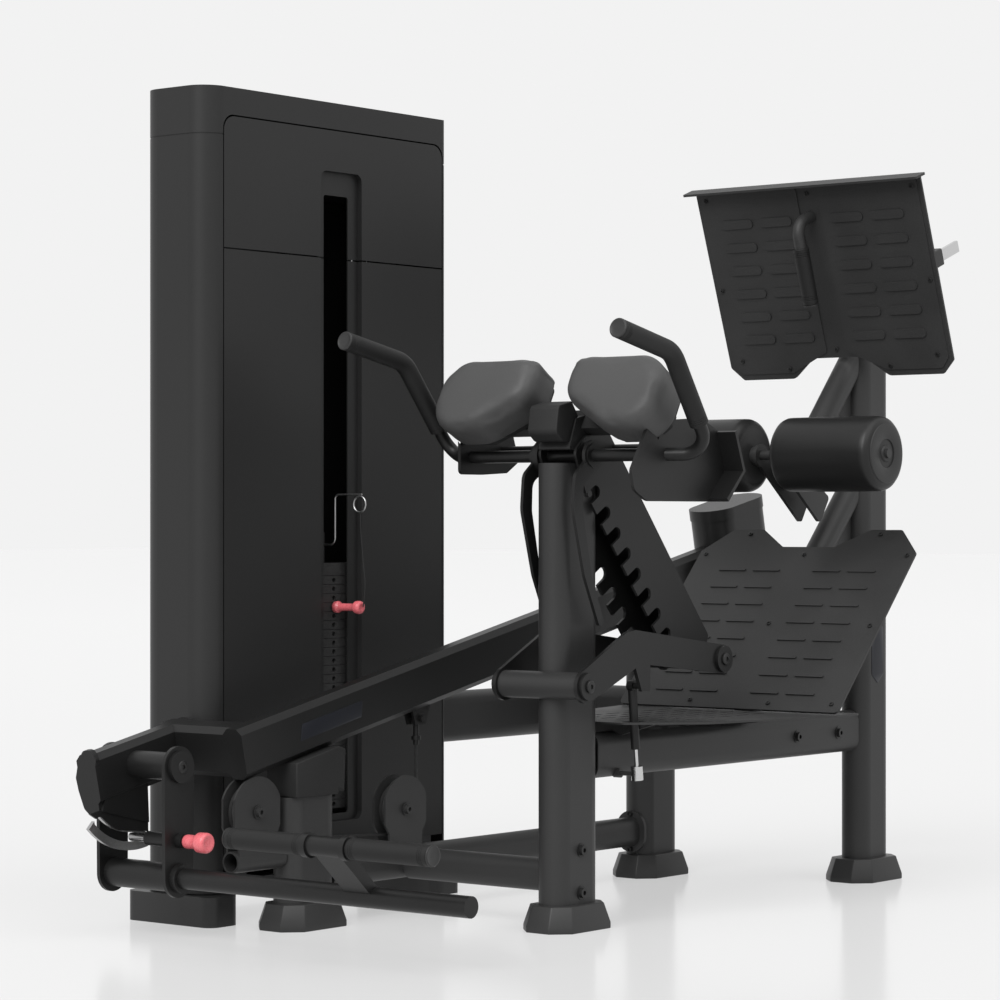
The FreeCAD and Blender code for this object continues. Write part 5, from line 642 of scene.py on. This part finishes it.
# Socket bolts: blackened caps with a hexagonal key hole, at the pivots of the adjuster arm
# and the handle frame and through the foot plates.
def socket_bolt(name, place, way, radius, high, key):
    """A chamfered round head with a hexagonal socket cut in by a six sided key."""
    steps = [(0.0, radius * 0.96), (high * 0.12, radius), (high * 0.72, radius),
             (high * 0.92, radius * 0.93), (high, radius * 0.80)]
    head = turned(name, steps, (0, 0, 0), (0, 0, 1), segments=40)
    bpy.ops.mesh.primitive_cylinder_add(vertices=6, radius=key, depth=high,
                                        location=(0, 0, high * 0.95))
    tool = bpy.context.object
    cut = head.modifiers.new("key_hole", "BOOLEAN")
    cut.operation = "DIFFERENCE"
    cut.object = tool
    pick(head)
    bpy.ops.object.modifier_apply(modifier=cut.name)
    bpy.data.objects.remove(tool)
    aim(head, place, way)
    return head


# Radius, height and key radius of the two sizes.
PIVOT_BOLT = (0.0125, 0.0048, 0.0052)
TREAD_SCREW = (0.0052, 0.0030, 0.0024)
PIVOT_BOLTS = [("arm_pivot_bolt", (-0.073, -0.112, 0.486), "adjuster_arm"),
               ("arm_far_bolt", (0.389, -0.112, 0.524), "adjuster_arm"),
               ("handle_pivot_bolt", (-0.611, 0.464, 0.335), "handle_frame")]
for name, place, body in PIVOT_BOLTS:
    settle(socket_bolt(name, place, (0, -1, 0), *PIVOT_BOLT), body, BLACK_BOLT)
LOW_PLACE = Vector((0.551, 0.0, 0.412))
LOW_SLOPE = math.radians(46.5)
LOW_UP = Vector((math.cos(LOW_SLOPE), 0.0, math.sin(LOW_SLOPE)))
LOW_OUT = Vector((-LOW_UP.z, 0.0, LOW_UP.x))
LOW_SCREWS = [(0.170, 0.505), (-0.170, 0.505), (0.262, 0.443), (-0.262, 0.443), (0.0, 0.443),
              (0.0, 0.240), (0.256, 0.240), (-0.256, 0.240), (0.256, 0.022), (-0.256, 0.022),
              (0.100, 0.018), (-0.100, 0.018)]
LOW_STAND = 0.0001
for index, (across, along) in enumerate(LOW_SCREWS):
    place = LOW_PLACE + LOW_UP * along + Vector((0, across, 0)) + LOW_OUT * LOW_STAND
    screw = socket_bolt("lower_tread_screw_%d" % index, place, LOW_OUT, *TREAD_SCREW)
    settle(screw, "frame", BLACK_BOLT)
HIGH_PLACE = Vector((1.010, 0.0, 1.129))
HIGH_LEAN = math.radians(20.1)
HIGH_UP = Vector((-math.sin(HIGH_LEAN), 0.0, math.cos(HIGH_LEAN)))
HIGH_OUT = Vector((-HIGH_UP.z, 0.0, HIGH_UP.x))
HIGH_SCREWS = [(0.268, 0.424), (-0.268, 0.424), (0.0, 0.424), (0.272, 0.214), (-0.272, 0.214),
               (0.256, 0.046), (-0.256, 0.046), (0.132, 0.024), (-0.132, 0.024), (0.0, 0.066)]
MIDDLE_HALF = 0.02
MIDDLE_STAND = 0.0001
SIDE_STAND = 0.0021
for index, (across, along) in enumerate(HIGH_SCREWS):
    stand = MIDDLE_STAND if abs(across) < MIDDLE_HALF else SIDE_STAND
    place = HIGH_PLACE + HIGH_UP * along + Vector((0, across, 0)) + HIGH_OUT * stand
    screw = socket_bolt("upper_tread_screw_%d" % index, place, HIGH_OUT, *TREAD_SCREW)
    settle(screw, "upper_plate", BLACK_BOLT)


# Label plates: two thin plates, one on the lever's near side and one on the rear post, both
# left bare.
LABEL_COAT = finish("label_plate_coat", (0.010, 0.011, 0.015), (0.013, 0.014, 0.019), 500.0, (0.3, 0.4),
                    0.00003)
LABEL_THICK = 0.0009
LABEL_CORNER = 0.003
LABEL_RIM = 0.985
LABEL_SMOOTH = math.radians(30.0)


def label_plate(name, corners, middle, across, up):
    """A thin plate from an outline, with softened edges, standing on a face."""
    bpy.ops.object.select_all(action="DESELECT")
    bpy.ops.mesh.primitive_circle_add(vertices=len(corners), radius=0.01, fill_type="NGON",
                                      location=(0, 0, 0))
    plate = bpy.context.object
    plate.name = name
    for vertex, (x, y) in zip(plate.data.vertices, corners):
        vertex.co = (x, y, 0.0)
    bpy.ops.object.mode_set(mode="EDIT")
    bpy.ops.mesh.select_all(action="SELECT")
    bpy.ops.mesh.bevel(offset=LABEL_CORNER, segments=3, affect="VERTICES")
    bpy.ops.mesh.extrude_region_move(TRANSFORM_OT_translate={"value": (0, 0, LABEL_THICK * 0.6)})
    bpy.ops.mesh.extrude_region_move(TRANSFORM_OT_translate={"value": (0, 0, LABEL_THICK * 0.4)})
    bpy.ops.transform.resize(value=(LABEL_RIM, LABEL_RIM, 1.0))
    face_outward()
    turn = Matrix((across, up, across.cross(up))).transposed().to_4x4()
    plate.data.transform(Matrix.Translation(middle) @ turn)
    bpy.ops.object.shade_smooth_by_angle(angle=LABEL_SMOOTH)
    return plate


BEAM_SLOPE = math.radians(12.1)
BEAM_WAY = Vector((math.cos(BEAM_SLOPE), 0.0, math.sin(BEAM_SLOPE)))
BEAM_UP = Vector((-BEAM_WAY.z, 0.0, BEAM_WAY.x))
LEVER_LABEL_OUTLINE = [(-0.098, -0.016), (0.088, -0.016), (0.098, 0.016), (-0.088, 0.016)]
LEVER_LABEL_PLACE = Vector((-0.245, 0.4049, 0.4085))
POST_LABEL_OUTLINE = [(0.0, -0.072), (0.024, -0.052), (0.024, 0.052), (0.0, 0.072), (-0.024, 0.052),
                      (-0.024, -0.052)]
POST_LABEL_PLACE = Vector((1.101, -0.0351, 0.515))
lever_label = label_plate("lever_label", LEVER_LABEL_OUTLINE, LEVER_LABEL_PLACE, BEAM_WAY, BEAM_UP)
settle(lever_label, "lever", LABEL_COAT)
post_label = label_plate("post_label", POST_LABEL_OUTLINE, POST_LABEL_PLACE, Vector((1, 0, 0)),
                         Vector((0, 0, 1)))
settle(post_label, "frame", LABEL_COAT)

# Floor and light: a pale studio floor that fades into the background, a broad light from the
# head end and a weaker one from the user's side.
BACKGROUND = 0.888
FLOOR_SIZE = 120.0
FLOOR_TONE = 0.702
FLOOR_ROUGHNESS = 0.16
FLOOR_SPECULAR = 0.13
FLOOR_GLOW = 0.5
SKY_TONE = 0.8
SKY_STRENGTH = 0.7
# Name, turn in degrees, strength and angular width of each light.
LIGHTS = [("head_end_light", (52.0, 0.0, -80.0), 2.4, 40.0),
          ("user_side_light", (38.0, 0.0, -10.0), 1.2, 60.0)]


def studio_floor_finish():
    """A pale floor that shows the plain background to the camera and keeps soft shadows."""
    material = bpy.data.materials.new("studio_floor")
    material.use_nodes = True
    nodes = material.node_tree.nodes
    links = material.node_tree.links
    shader = nodes["Principled BSDF"]
    shader.inputs["Base Color"].default_value = (*grey(FLOOR_TONE), 1.0)
    shader.inputs["Roughness"].default_value = FLOOR_ROUGHNESS
    shader.inputs["Specular IOR Level"].default_value = FLOOR_SPECULAR
    glow = nodes.new("ShaderNodeEmission")
    glow.inputs["Color"].default_value = (*grey(BACKGROUND), 1.0)
    mixer = nodes.new("ShaderNodeMixShader")
    mixer.inputs["Fac"].default_value = FLOOR_GLOW
    links.new(shader.outputs["BSDF"], mixer.inputs[1])
    links.new(glow.outputs["Emission"], mixer.inputs[2])
    links.new(mixer.outputs["Shader"], nodes["Material Output"].inputs["Surface"])
    return material


bpy.ops.mesh.primitive_plane_add(size=FLOOR_SIZE, location=(0.0, 0.0, 0.0))
floor = bpy.context.object
floor.name = "studio_floor_plane"
floor.data.materials.append(studio_floor_finish())

world = bpy.data.worlds.new("studio_world")
bpy.context.scene.world = world
world.use_nodes = True
world_nodes = world.node_tree.nodes
world_links = world.node_tree.links
soft_sky = world_nodes["Background"]
soft_sky.inputs["Color"].default_value = (*grey(SKY_TONE), 1.0)
soft_sky.inputs["Strength"].default_value = SKY_STRENGTH
seen_sky = world_nodes.new("ShaderNodeBackground")
seen_sky.inputs["Color"].default_value = (*grey(BACKGROUND), 1.0)
rays = world_nodes.new("ShaderNodeLightPath")
seen_by_mirror = world_nodes.new("ShaderNodeMath")
seen_by_mirror.operation = "MAXIMUM"
world_links.new(rays.outputs["Is Glossy Ray"], seen_by_mirror.inputs[0])
world_links.new(rays.outputs["Is Transmission Ray"], seen_by_mirror.inputs[1])
seen = world_nodes.new("ShaderNodeMath")
seen.operation = "MAXIMUM"
world_links.new(rays.outputs["Is Camera Ray"], seen.inputs[0])
world_links.new(seen_by_mirror.outputs["Value"], seen.inputs[1])
sky_mix = world_nodes.new("ShaderNodeMixShader")
world_links.new(seen.outputs["Value"], sky_mix.inputs["Fac"])
world_links.new(soft_sky.outputs["Background"], sky_mix.inputs[1])
world_links.new(seen_sky.outputs["Background"], sky_mix.inputs[2])
world_links.new(sky_mix.outputs["Shader"], world_nodes["World Output"].inputs["Surface"])

for name, turn, strength, width in LIGHTS:
    lamp = bpy.data.lights.new(name, "SUN")
    lamp.energy = strength
    lamp.angle = math.radians(width)
    light = bpy.data.objects.new(name, lamp)
    light.rotation_euler = [math.radians(value) for value in turn]
    bpy.context.scene.collection.objects.link(light)
